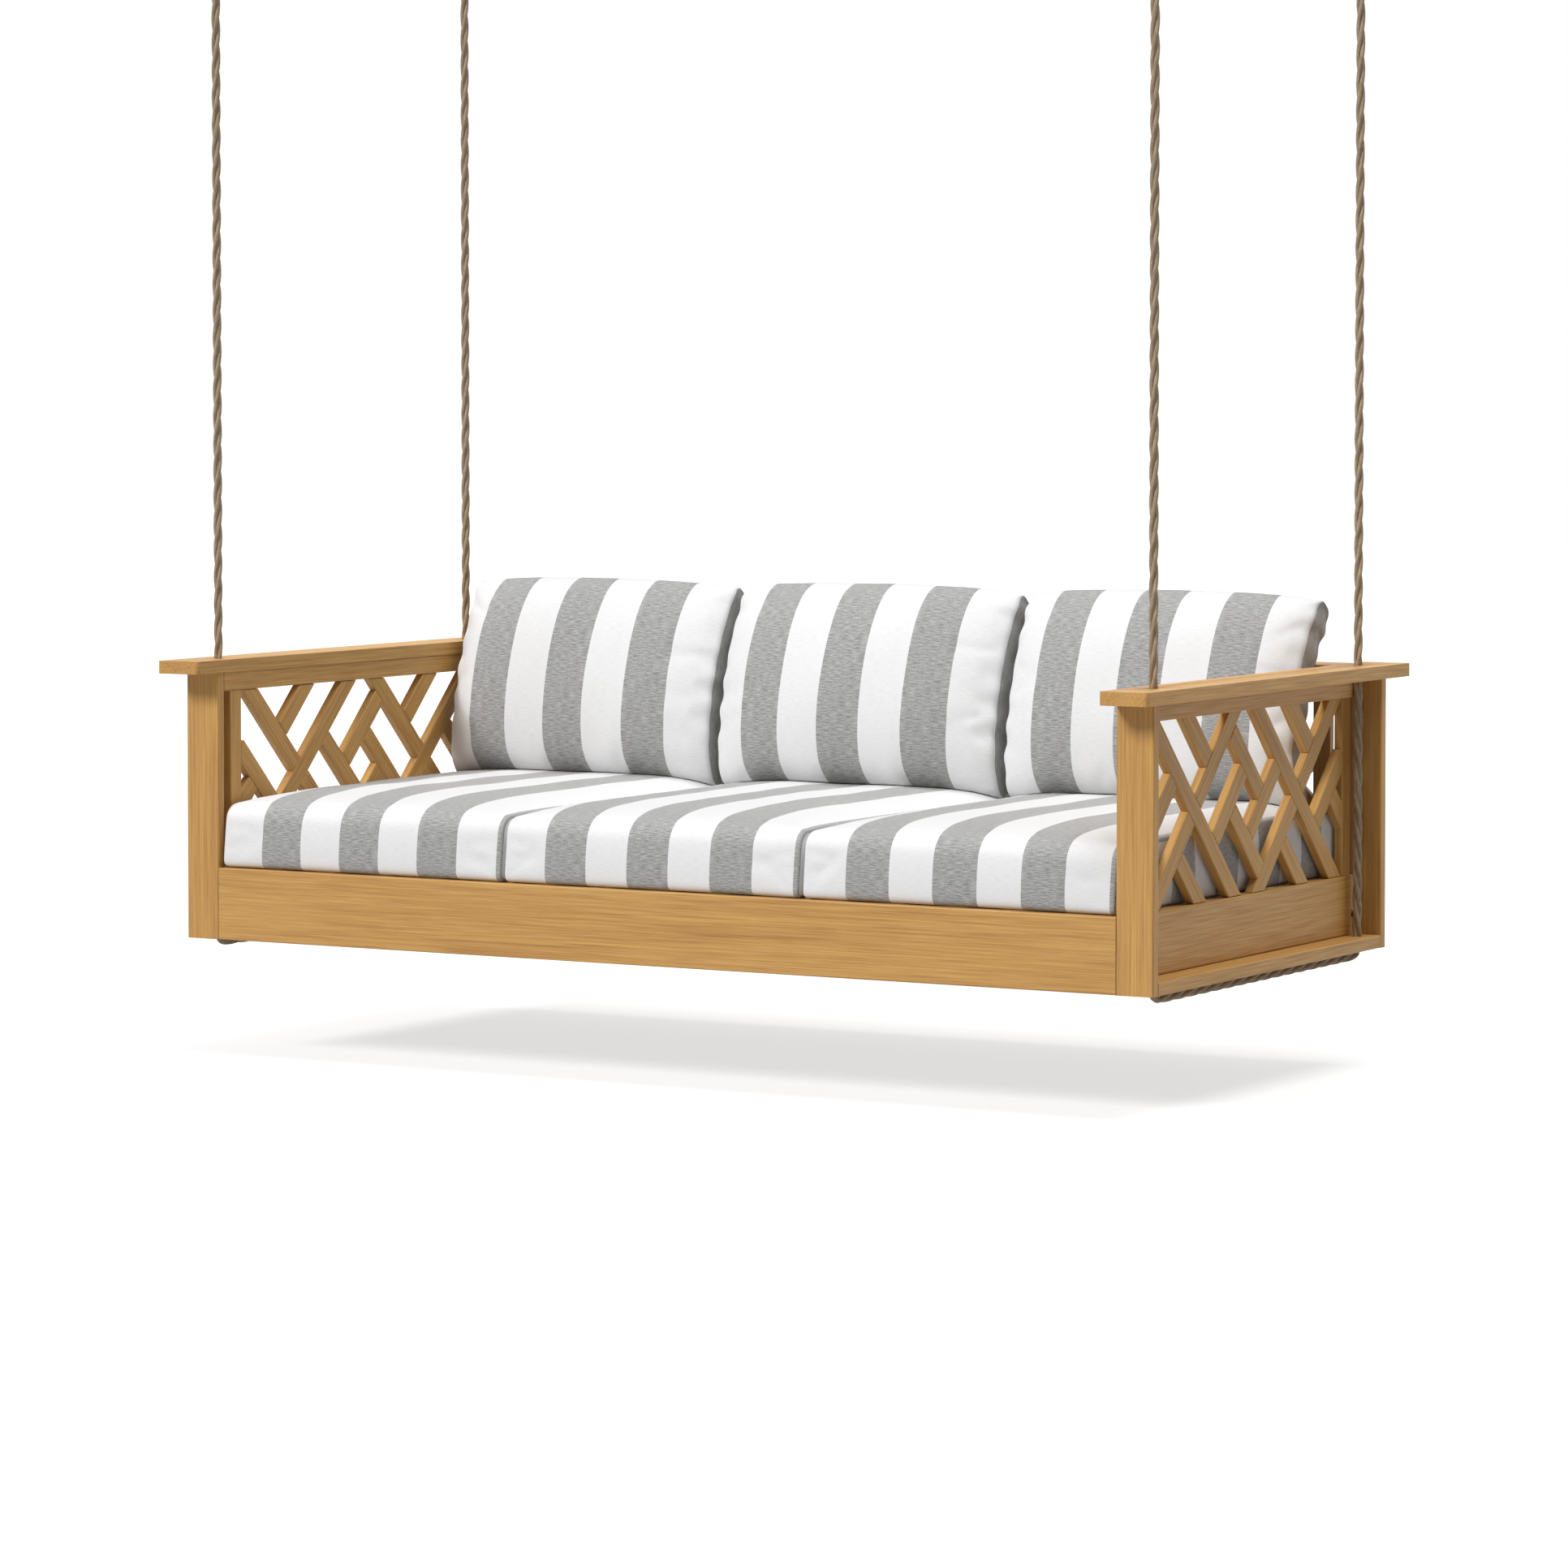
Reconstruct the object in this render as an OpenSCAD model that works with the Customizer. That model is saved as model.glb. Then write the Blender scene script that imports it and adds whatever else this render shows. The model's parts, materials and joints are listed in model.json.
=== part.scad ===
// Hanging swing bed: a boarded frame with lattice arms and back, seat and back cushions,
// and four three-strand ropes. Each side has one rope, which goes down through the armrest,
// under the bottom board and up again, so the ropes carry the bed from underneath.
// Millimetres. X runs left to right, Y front to back, Z up. The origin is on the ceiling,
// in the middle of the four screw eyes.

/* [Frame] */
// Length of the frame over its posts, left to right
frame_len = 2102; // [1800:1:2300]
// Depth of the frame over its posts, front to back
frame_depth = 1008; // [900:1:1120]
// Height of the posts, from their feet to the underside of the armrests
post_h = 520; // [480:1:580]
// Width of a post, left to right
post_w = 74; // [70:1:84]
// Thickness of the posts and of the front and back rails
board_t = 22; // [18:0.5:26]
// Height of the front and back rails
rail_h = 140; // [128:1:160]
// Radius of the eased edges along the boards
edge_r = 3; // [1:0.5:5]
// Gap between two boards that butt together
seam = 0.5; // [0.3:0.1:1.2]

/* [Sides] */
// Width of the bottom boards that the ropes pass under
ledge_w = 97; // [92:1:110]
// Thickness of the bottom boards
ledge_t = 25; // [20:1:32]
// Thickness of the side rails that stand on the bottom boards
side_rail_t = 22; // [18:1:24]

/* [Armrests and back] */
// Width of the armrests and of the cap along the back
arm_w = 97; // [90:1:110]
// Thickness of the armrests and of the cap
arm_t = 25; // [20:1:32]
// How far an armrest stands out past the front and back posts
arm_over_end = 68; // [40:1:90]
// How far an armrest stands out past the posts' outer edge
arm_over_side = 21; // [12:1:28]
// Corner radius of the armrests, seen from above
arm_corner_r = 9; // [4:1:14]
// Height of the rail under each armrest and under the cap
top_rail_h = 36; // [30:1:44]
// Thickness of the rail under each armrest and under the cap
top_rail_t = 34; // [28:1:38]

/* [Lattice] */
// Width of a lattice bar
bar_w = 38; // [28:0.5:44]
// Thickness of the lattice bars and stiles
bar_t = 17.5; // [12:0.5:19]
// Distance between neighbouring bars, centre to centre, square to the bars
bar_pitch = 104.3; // [96:0.1:112]
// Width of the upright stile at each end of a lattice
stile_w = 36; // [24:1:44]
// Gap between a side lattice's stile and the post
stile_gap = 22; // [16:1:26]
// Gap between the back's lattice and the post
back_gap = 35; // [20:1:50]
// Width of the upright between the two lattices of the back
mullion_w = 45; // [36:1:60]

/* [Seat base] */
// Number of seat slats
slat_count = 16; // [10:1:19]
// Width of a seat slat
slat_w = 70; // [50:1:84]
// Thickness of a seat slat
slat_t = 19; // [14:1:24]
// Height of the strips that carry the slat ends
ledger_h = 40; // [30:1:50]
// Thickness of the strips that carry the slat ends
ledger_t = 24; // [18:1:30]
// Thickness of the beam under the middle of the slats
beam_t = 28; // [22:1:40]
// Width of a corner block along the side, and of a corner cleat
block_w = 22; // [19:1:24]
// Thickness of a corner block
block_t = 18; // [14:1:20]
// Length of a corner cleat along the side rail
cleat_len = 48; // [42:1:58]
// Distance between the two screws of a corner cleat
cleat_screw_gap = 43; // [30:1:50]
// Diameter of a corner bolt
bolt_d = 6; // [5:0.5:8]
// Diameter of a wood screw
screw_d = 4; // [3:0.5:5]

/* [Seat cushions] */
// Thickness of a seat cushion at its edge
seat_edge_t = 122; // [90:1:140]
// Rise of a seat cushion's top from its edge to its crown
seat_crown = 25; // [15:1:45]
// Radius of a seat cushion's top edge
seat_edge_r = 34; // [20:1:40]
// How far a cushion's sides draw in between its corners
draw_in = 5; // [2:0.5:8]
// Gap beside and behind a cushion
cushion_gap = 2; // [1:0.5:5]

/* [Back cushions] */
// Height of the back cushions' top above the seat cushions' edge
back_rise = 414; // [350:1:480]
// Thickness of a back cushion at its side panel
back_edge_t = 72; // [60:1:76]
// Rise of a back cushion's front face from its edge to its crown
back_crown_front = 50; // [25:1:60]
// Rise of a back cushion's back face from its edge to its crown
back_crown_rear = 36; // [15:1:38]
// How far a back cushion's foot stands from the outside of the back posts
back_foot = 208; // [196:1:225]
// How far a back cushion leans back from its foot to its top
back_lean = 112; // [60:1:116]

/* [Ropes] */
// Diameter of the rope
rope_d = 16; // [12:1:18]
// Gap between a rope and the rail under the armrest
rope_side_gap = 0.4; // [0.3:0.1:2]
// Distance from a post's outer face to the rope's centre
rope_back = 62; // [60:1:66]
// Diameter of the holes for the rope
rope_hole_d = 20; // [19:0.5:24]
// Height of the spliced eyes' foot above the armrests
eye_foot_h = 1355; // [1200:1:1600]

/* [Hanging fittings] */
// Length of the splice below an eye
splice_len = 70; // [50:1:110]
// Radius of the rope's centreline round a thimble
thimble_r = 24; // [22:0.5:28]
// Thickness of a thimble's wall
thimble_wall = 2; // [1.5:0.1:2.4]
// Diameter of the steel of a link
link_d = 9; // [7:0.5:9.5]
// Width of a link, between the centres of its two sides
link_w = 38; // [36:0.5:42]
// Height from a link's lower bar to the bar of the screw eye
link_drop = 42; // [40:0.5:50]
// Diameter of the steel of a screw eye
eye_d = 11; // [9:0.5:12]
// Radius of a screw eye's ring, at the centre of its steel
eye_r = 16; // [14:0.5:20]
// Diameter of a screw eye's shank
shank_d = 12; // [10:0.5:14]
// Length of a screw eye's shank in the ceiling
shank_len = 70; // [50:1:100]
// Radial clearance in the links, thimbles and eyes
swing_clear = 0.4; // [0.3:0.1:0.8]

/* [Hidden] */

// Colours
WOOD = [0.75, 0.56, 0.34];
WOOD_END = [0.66, 0.48, 0.28];
ROPE = [0.59, 0.51, 0.41];
STEEL = [0.70, 0.71, 0.72];
DARK = [0.16, 0.15, 0.14];
CLOTH = [0.93, 0.93, 0.92];

// Heights of the hanging, from the armrests' top up to the ceiling
rope_r = rope_d / 2;
arm_top = post_h + arm_t;
splice_foot = arm_top + eye_foot_h;
splice_top = splice_foot + splice_len;
thimble_z = splice_top + thimble_r + 19;
thimble_in_r = thimble_r - rope_r - thimble_wall;
link_low = thimble_z + thimble_in_r - link_d / 2 - swing_clear;
eye_bar = link_low + link_drop;
link_high = eye_bar + eye_d / 2 + link_d / 2 + swing_clear;
collar_t = 5;
ceiling = eye_bar + 2 * eye_r + eye_d / 2 + collar_t;
// The bed hangs below the ceiling by that much
drop = -ceiling;

// Plan of the frame
half_len = frame_len / 2;
half_depth = frame_depth / 2;
inner_x = half_len - post_w;
rope_x = inner_x + top_rail_t + rope_side_gap + rope_r;
rope_y = half_depth - rope_back;
inner_y = half_depth - board_t;
rail_half = inner_x - seam;
side_half = inner_y - 2 * seam - block_w;

// Lattice
lattice_low = rail_h + seam;
lattice_high = post_h - top_rail_h - seam;
lattice_mid = (lattice_low + lattice_high) / 2;
stile_out_y = inner_y - stile_gap;
side_lattice_y = stile_out_y - stile_w;
back_low_x = mullion_w / 2 + seam + stile_w;
back_high_x = inner_x - back_gap - stile_w;
back_lattice_y = half_depth - board_t / 2;
line_step = bar_pitch * sqrt(2);
bar_half = bar_w * sqrt(2) / 2;
lines = 7;
// The lattice stands a little inside the post's inner edge
lattice_set = 1;

// Seat
slat_top = rail_h;
slat_low = slat_top - slat_t;
slat_half = inner_y - seam;
block_half = block_w / 2;
bolt_z = 65;
bolt_head = 4;
cleat_screw_len = block_w + seam + 12;
slat_screw_len = slat_t + 16;
// The end slats' screws stand in by this much to clear the corner cleats
slat_screw_x = inner_x - block_w - 2 * seam - 3 * screw_d;
cleat_h = slat_low - ledge_t - 3 * seam;
cleat_mid = ledge_t + seam + cleat_h / 2;
cushion_count = 3;
cushion_w = 2 * (inner_x - cushion_gap) / cushion_count;
seat_low = slat_top + seam;
seat_back = half_depth - top_rail_t - cushion_gap;
seat_d = seat_back + half_depth;
seat_edge_top = seat_low + seat_edge_t;
CUSHION_X = [for (i = [0:cushion_count - 1]) (i - (cushion_count - 1) / 2) * cushion_w];

// Rope routes: places along Y and Z.
// Down through the bottom board, round the edge of its hole and along under it, seen from
// the hole's axis and the height of the run below
RUN_BEND = [[0, 16], [1, 10], [4, 4], [9, 1], [16, 0]];
// Round a thimble: from the splice, out and up to the top, seen from the thimble's centre
EYE_BEND = [[-9, -30], [-18, -18], [-23, -8], [-24, 0], [-21, 12], [-12, 21], [0, 24]];
rope_sides = 12;
// Rings along a taut rope
rope_rings = 12;

// ---------------------------------------------------------------- shapes

// A board along X with eased long edges; its low corner is at the origin
module board_x(len, wide, high, r = edge_r) {
    rotate([90, 0, 90]) linear_extrude(len) eased(wide, high, r);
}

// A board along Y with eased long edges; its low corner is at the origin
module board_y(len, wide, high, r = edge_r) {
    translate([0, len, 0]) rotate([90, 0, 0]) linear_extrude(len) eased(wide, high, r);
}

// A board along Z with eased long edges; its low corner is at the origin
module board_z(len, wide, deep, r = edge_r) {
    linear_extrude(len) eased(wide, deep, r);
}

// A rectangle with round corners, from true arcs
module eased(w, h, r) {
    translate([r, 0]) square([w - 2 * r, h]);
    translate([0, r]) square([w, h - 2 * r]);
    for (x = [r, w - r], y = [r, h - r]) translate([x, y]) circle(r = r, $fn = 24);
}

// The four corners of the frame: left and right, front and back
module at_corners() {
    for (sx = [-1, 1], sy = [-1, 1]) scale_mirror(sx, sy) children();
}

// Mirrors a piece from the right back corner to another corner
module scale_mirror(sx, sy) {
    mirror([sx < 0 ? 1 : 0, 0, 0]) mirror([0, sy < 0 ? 1 : 0, 0]) children();
}

// Points of a ring of the tube: the route lies in the plane of Y and Z at x
function ring(x, p, dir, r) =
    let (n = [dir[1], -dir[0]])
    [for (k = [0:rope_sides - 1])
        let (a = 360 * (k + 0.5) / rope_sides)
        [x + r * cos(a), p[0] + r * sin(a) * n[0], p[1] + r * sin(a) * n[1]]];

// The direction of a route at point i: along the chord between its neighbours
function heading(route, i) =
    let (a = route[max(i - 1, 0)], b = route[min(i + 1, len(route) - 1)])
    (b - a) / norm(b - a);

// A rope along a route of [y, z] points at x, with square ends
module rope(x, route) {
    n = len(route);
    points = [for (i = [0:n - 1]) each ring(x, route[i], heading(route, i), rope_r)];
    polyhedron(points, tube_faces(n, rope_sides), convexity = 6);
}

// Triangles of a tube of n rings with closed ends
function tube_faces(n, m) = concat(
    [for (k = [1:m - 2]) [0, k, k + 1]],
    [for (k = [1:m - 2]) [(n - 1) * m, (n - 1) * m + k + 1, (n - 1) * m + k]],
    [for (i = [0:n - 2], k = [0:m - 1]) [i * m + k, i * m + m + k, i * m + (k + 1) % m]],
    [for (i = [0:n - 2], k = [0:m - 1]) [i * m + m + k, i * m + m + (k + 1) % m, i * m + (k + 1) % m]]
);

// ---------------------------------------------------------------- hanging fittings

// Screw eyes in the ceiling: a ring in the plane of Y and Z, a collar and a shank
module ceiling_eyes() {
    color(STEEL) for (x = [-rope_x, rope_x], y = [-rope_y, rope_y]) translate([x, y, 0]) {
        translate([0, 0, drop + eye_bar + eye_r]) rotate([0, 90, 0])
            rotate_extrude($fn = 64) translate([eye_r, 0]) circle(d = eye_d, $fn = 24);
        translate([0, 0, drop + eye_bar + 2 * eye_r]) cylinder(d = eye_d, h = eye_d, $fn = 32);
        translate([0, 0, -collar_t]) cylinder(d = 2 * shank_d, h = collar_t, $fn = 48);
        cylinder(d = shank_d, h = shank_len, $fn = 32);
    }
}

// One link: two half rings and two straight sides, in the plane of X and Z
module link() {
    r = link_w / 2;
    top = link_high - r;
    low = link_low + r;
    for (end = [[top, 0], [low, 180]]) translate([0, 0, drop + end[0]]) rotate([90, 0, 0])
        rotate(end[1]) rotate_extrude(angle = 180, $fn = 64) translate([r, 0])
            circle(d = link_d, $fn = 24);
    for (x = [-r, r]) translate([x, 0, drop + low]) cylinder(d = link_d, h = top - low, $fn = 24);
}

module links(side) {
    color(STEEL) for (y = [-rope_y, rope_y]) translate([side * rope_x, y, 0]) link();
}

// A round thimble: a channel that opens outwards and holds the rope's eye
module thimble(sx, sy) {
    color(STEEL) translate([sx * rope_x, sy * rope_y, drop + thimble_z]) rotate([0, 90, 0])
        rotate_extrude($fn = 72) translate([thimble_r, 0]) difference() {
            circle(r = rope_r + thimble_wall, $fn = 48);
            circle(r = rope_r + 0.1, $fn = 48);
            translate([0, -2 * rope_r]) square(4 * rope_r);
        }
}

// The splice and the rope's eye round the thimble
module splice(sx, sy) {
    x = sx * rope_x;
    y = sy * rope_y;
    grow = thimble_r / 24;
    half = concat(
        [for (up = [0.05, 5]) [-rope_r - 0.2, drop + splice_top + up]],
        [for (p = EYE_BEND) [p[0] * grow, drop + thimble_z + p[1] * grow]]);
    back = [for (i = [len(half) - 2:-1:0]) [-half[i][0], half[i][1]]];
    route = [for (p = concat(half, back)) [y + p[0], p[1]]];
    color(ROPE) {
        translate([x, y, drop + splice_foot])
            cylinder(r1 = rope_r + 1, r2 = 2 * rope_r + 0.5, h = splice_len, $fn = 32);
        rope(x, route);
    }
}

// A rope's taut stretch, from just over the armrest to the splice
module taut_rope(sx, sy) {
    low = drop + arm_top + rope_r + 0.5;
    step = (drop + splice_foot - low) / (rope_rings - 1);
    color(ROPE) rope(sx * rope_x, [for (i = [0:rope_rings - 1]) [sy * rope_y, low + i * step]]);
}

// Where a rope bends as the bed swings: a ball in the mouth of the armrest's hole
module rope_bend(sx, sy) {
    color(ROPE) translate([sx * rope_x, sy * rope_y, drop + arm_top]) sphere(r = rope_r, $fn = 32);
}

// The rope's lower run on one side, from one armrest hole to the other
module rope_run(side) {
    z = drop + arm_top - rope_r - 0.5;
    under = drop - rope_r;
    half = concat([for (k = [0:3]) [-rope_y, z + (drop + ledge_t + 8 - z) * k / 3]],
                  [for (p = RUN_BEND) [-rope_y + p[0], under + p[1]]]);
    back = [for (i = [len(half) - 1:-1:0]) [-half[i][0], half[i][1]]];
    color(ROPE) rope(side * rope_x, concat(half, back));
}

// ---------------------------------------------------------------- frame

module post(sx, sy) {
    color(WOOD) scale_mirror(sx, sy) translate([inner_x, inner_y, drop])
        board_z(post_h, post_w, board_t);
}

// Front rail at sy = -1 and back rail at sy = 1, level with the posts' outer faces
module long_rail(sy) {
    color(WOOD) scale_mirror(1, sy) translate([-rail_half, inner_y, drop])
        board_x(2 * rail_half, board_t, rail_h);
}

// A board that the rope passes under, with its two holes eased at the bottom
module ledge(side) {
    long = 2 * (inner_y - seam);
    color(WOOD_END) scale_mirror(side, 1) difference() {
        translate([half_len - ledge_w, -long / 2, drop]) board_y(long, ledge_w, ledge_t);
        for (y = [-rope_y, rope_y]) translate([rope_x, y, drop]) {
            translate([0, 0, -1]) cylinder(d = rope_hole_d, h = ledge_t + 2, $fn = 48);
            translate([0, 0, -0.01])
                cylinder(r1 = rope_hole_d / 2 + 6, r2 = rope_hole_d / 2, h = 6, $fn = 48);
        }
    }
}

// The side rail, on the bottom board
module side_rail(side) {
    color(WOOD) scale_mirror(side, 1) difference() {
        translate([inner_x, -side_half, drop + ledge_t + seam])
            board_y(2 * side_half, side_rail_t, rail_h - ledge_t - seam);
        cleat_screw_places() screw(cleat_screw_len);
    }
}

// An armrest with its two rope holes
module armrest(side) {
    long = frame_depth + 2 * arm_over_end;
    out = half_len + arm_over_side;
    color(WOOD) scale_mirror(side, 1) difference() {
        translate([out - arm_w, -long / 2, drop + post_h])
            linear_extrude(arm_t) eased(arm_w, long, arm_corner_r);
        for (y = [-rope_y, rope_y]) translate([rope_x, y, drop + post_h - 1])
            cylinder(d = rope_hole_d, h = arm_t + 2, $fn = 48);
    }
}

// The cap along the back, between the armrests
module back_cap() {
    half = half_len + arm_over_side - arm_w - seam;
    color(WOOD) translate([-half, half_depth + arm_over_side - arm_w, drop + post_h])
        board_x(2 * half, arm_w, arm_t);
}

// The rail under an armrest, level with the posts' inner edges
module arm_rail(side) {
    long = 2 * (inner_y - seam);
    color(WOOD) scale_mirror(side, 1)
        translate([inner_x, -long / 2, drop + post_h - top_rail_h])
            board_y(long, top_rail_t, top_rail_h, 1.5);
}

// The rail under the cap, level with the posts' outer faces
module back_top_rail() {
    color(WOOD) translate([-rail_half, half_depth - top_rail_t, drop + post_h - top_rail_h])
        board_x(2 * rail_half, top_rail_t, top_rail_h, 1.5);
}

// ---------------------------------------------------------------- lattice

// A bar of the lattice about its panel's centre. A falling bar is a line of x + y, cut at
// lines of y - x, and a rising bar the other way round. The bar lies on line number line,
// and stops a seam short of the bars on lines high and low, which it butts against.
function place(line) = (line + 0.5) * line_step;
function bar(falls, line, high, low) =
    let (at = place(line), to = place(high) - bar_half - seam, from = place(low) + bar_half + seam,
         corners = [[at - bar_half, from], [at + bar_half, from], [at + bar_half, to], [at - bar_half, to]])
    [for (c = corners) let (p = falls ? c : [c[1], c[0]]) [(p[0] - p[1]) / 2, (p[0] + p[1]) / 2]];

// Whether a bar is laid: not where its line would only cut off a corner of the opening, or
// where less than a third of a cell of it would show
function laid(line, high, low, half_w, half_h) =
    let (at = place(line),
         to = min(place(high) - bar_half, at + 2 * half_w, 2 * half_h - at),
         from = max(place(low) + bar_half, at - 2 * half_w, -2 * half_h - at))
    abs(at) < half_w + half_h - line_step && to - from > line_step / 3;

// A bar as a solid, trimmed to the opening
module trimmed(falls, line, high, low, half_w, half_h) {
    if (laid(line, high, low, half_w, half_h)) linear_extrude(bar_t) intersection() {
        square([2 * half_w, 2 * half_h], center = true);
        polygon(bar(falls, line, high, low));
    }
}

// A lattice panel about its centre, in the plane of X and Y. Every third falling bar runs
// right through. The other falling bars reach over one rising bar, and the rising bars over
// one falling bar, or over two between a pair that runs through.
module lattice(half_w, half_h) {
    for (m = [-lines:lines], a = [-lines:lines]) {
        if (mod3(m) == 1 && a == 0) trimmed(true, m, lines, -lines, half_w, half_h);
        if (mod3(m) != 1 && mod3(a) == (mod3(m) == 2 ? 0 : 1))
            trimmed(true, m, a, a - 2, half_w, half_h);
        if (mod3(a) == (mod3(m) == 2 ? 2 : 1))
            trimmed(false, m, a + (mod3(m) == 1 ? 3 : 2), a, half_w, half_h);
    }
}

function mod3(k) = (k % 3 + 3) % 3;

// The lattice under an armrest, seen right from outside
module side_lattice(side) {
    color(WOOD) rotate(side > 0 ? 0 : 180)
        translate([inner_x + lattice_set + bar_t, 0, drop + lattice_mid])
            rotate([90, 0, 90]) mirror([0, 0, 1])
                lattice(side_lattice_y - seam, (lattice_high - lattice_low) / 2);
}

// One half of the back's lattice, seen from behind
module back_lattice(side) {
    low = back_low_x + seam;
    high = back_high_x - seam;
    color(WOOD) translate([side * (low + high) / 2, back_lattice_y + bar_t / 2, drop + lattice_mid])
        rotate([90, 0, 0]) mirror([1, 0, 0])
            lattice((high - low) / 2, (lattice_high - lattice_low) / 2);
}

// Stiles at the two ends of a side lattice
module arm_stiles(side) {
    color(WOOD) scale_mirror(side, 1) for (sy = [-1, 1]) scale_mirror(1, sy)
        translate([inner_x + lattice_set, side_lattice_y, drop + lattice_low])
            board_z(lattice_high - lattice_low, bar_t, stile_w, 1.5);
}

// Stiles at both ends of the two back lattices
module back_stiles() {
    color(WOOD) for (sx = [-1, 1], x = [back_low_x - stile_w, back_high_x]) scale_mirror(sx, 1)
        translate([x, back_lattice_y - bar_t / 2, drop + lattice_low])
            board_z(lattice_high - lattice_low, stile_w, bar_t, 1.5);
}

// The upright between the two lattices of the back
module back_mullion() {
    color(WOOD) translate([-mullion_w / 2, inner_y, drop + lattice_low])
        board_z(lattice_high - lattice_low, mullion_w, board_t);
}

// ---------------------------------------------------------------- seat base

// Places of the slats along X
SLAT_X = [for (i = [0:slat_count - 1])
    -rail_half + slat_w / 2 + i * (2 * rail_half - slat_w) / (slat_count - 1)];

module seat_slats() {
    color(WOOD_END) difference() {
        for (x = SLAT_X) translate([x - slat_w / 2, -slat_half, drop + slat_low])
            board_y(2 * slat_half, slat_w, slat_t - seam, 2);
        slat_screw_places() screw(slat_screw_len);
    }
}

// Strips along the front and back rails, between the corner cleats
module slat_ledgers() {
    half = inner_x - block_w - 2 * seam;
    color(WOOD_END) difference() {
        for (sy = [-1, 1]) scale_mirror(1, sy)
            translate([-half, inner_y - ledger_t, drop + slat_low - seam - ledger_h])
                board_x(2 * half, ledger_t, ledger_h, 2);
        slat_screw_places() screw(slat_screw_len);
    }
}

// The beam under the middle of the slats, standing on the bottom boards
module seat_beam() {
    color(WOOD_END) translate([-rail_half, -beam_t / 2, drop + ledge_t + seam])
        board_x(2 * rail_half, beam_t, slat_low - ledge_t - 2 * seam, 2);
}

// A block between each side rail's end and its post
module corner_blocks() {
    color(WOOD_END) at_corners() difference() {
        translate([inner_x, inner_y - seam - block_w, drop + ledge_t + seam])
            board_z(rail_h - ledge_t - 2 * seam, block_t, block_w, 1.5);
        corner_bolt();
    }
}

// A cleat in each corner, behind the side rail's end and the block
module corner_cleats() {
    color(WOOD_END) at_corners() difference() {
        translate([inner_x - block_w - seam, inner_y - seam - cleat_len, drop + ledge_t + seam])
            board_z(cleat_h, block_w, cleat_len, 1.5);
        corner_bolt();
        cleat_screw_places(false) screw(cleat_screw_len);
    }
}

// A bolt in the right back corner: through the block into its cleat, domed outside
module corner_bolt() {
    translate([inner_x - block_half, inner_y - seam - block_half, drop + bolt_z])
        rotate([0, 90, 0]) {
            cylinder(d = bolt_d, h = block_t + block_half, $fn = 32);
            translate([0, 0, block_t + block_half])
                cylinder(d1 = 2.2 * bolt_d, d2 = 1.6 * bolt_d, h = bolt_head, $fn = 32);
        }
}

module corner_bolts() {
    color(DARK) at_corners() corner_bolt();
}

// A countersunk screw that points up from z = 0, with its head below
module screw(long) {
    cylinder(d1 = 2 * screw_d, d2 = screw_d, h = screw_d / 2, $fn = 32);
    cylinder(d = screw_d, h = long, $fn = 32);
}

// Places of the screws through the cleats of one side into its side rail
module cleat_screw_places(both = true) {
    for (sy = both ? [-1, 1] : [1], up = [-1, 1]) mirror([0, sy < 0 ? 1 : 0, 0])
        translate([inner_x - block_w - seam, inner_y - seam - cleat_len + block_half,
                   drop + cleat_mid + up * cleat_screw_gap / 2])
            rotate([0, 90, 0]) children();
}

module cleat_screws() {
    color(DARK) at_corners() cleat_screw_places(false) screw(cleat_screw_len);
}

// Places of the screws through the slats into their strips
module slat_screw_places() {
    for (x = SLAT_X, sy = [-1, 1])
        translate([min(max(x, -slat_screw_x), slat_screw_x), sy * (inner_y - ledger_t / 2),
                   drop + slat_top - seam]) rotate([180, 0, 0]) children();
}

module slat_screws() {
    color(DARK) slat_screw_places() screw(slat_screw_len);
}

// ---------------------------------------------------------------- cushions

// Half an outline as x = f(part), from a corner to the next, is built up from these:
// a rounded rectangle of half sizes hx and hy with corner radius r, sampled with sides
// points on each side and turns points on each corner.
OUT_SIDES = 6;
OUT_TURNS = 4;
function outline(hx, hy, r) = concat(
    edge_part(hx, hy, r, 0), corner_part(hx, hy, r, 0), edge_part(hx, hy, r, 1), corner_part(hx, hy, r, 1),
    edge_part(hx, hy, r, 2), corner_part(hx, hy, r, 2), edge_part(hx, hy, r, 3), corner_part(hx, hy, r, 3));
function turned(p, q) = q == 0 ? p : q == 1 ? [-p[1], p[0]] : q == 2 ? [-p[0], -p[1]] : [p[1], -p[0]];
function edge_part(hx, hy, r, q) =
    let (a = q % 2 == 0 ? hx : hy, b = q % 2 == 0 ? hy : hx)
    [for (i = [0:OUT_SIDES - 1]) turned([a, (b - r) * (2 * i / OUT_SIDES - 1)], q)];
function corner_part(hx, hy, r, q) =
    let (a = q % 2 == 0 ? hx : hy, b = q % 2 == 0 ? hy : hx)
    [for (i = [0:OUT_TURNS - 1]) let (t = 90 * i / OUT_TURNS)
        turned([a - r + r * cos(t), b - r + r * sin(t)], q)];

// Sides drawn in between the corners: most at the middle of a side, none at a corner
function drawn(p, hx, hy, pull) =
    let (kx = 1 - pull / hx * max(0, 1 - pow(p[1] / hy, 2)),
         ky = 1 - pull / hy * max(0, 1 - pow(p[0] / hx, 2)))
    [p[0] * kx, p[1] * ky];

// Share of the crown at a point: full in the middle, none at the edge
function crown(p, hx, hy, px, py) =
    max(0, 1 - pow(abs(p[0]) / hx, px)) * max(0, 1 - pow(abs(p[1]) / hy, py));

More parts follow.
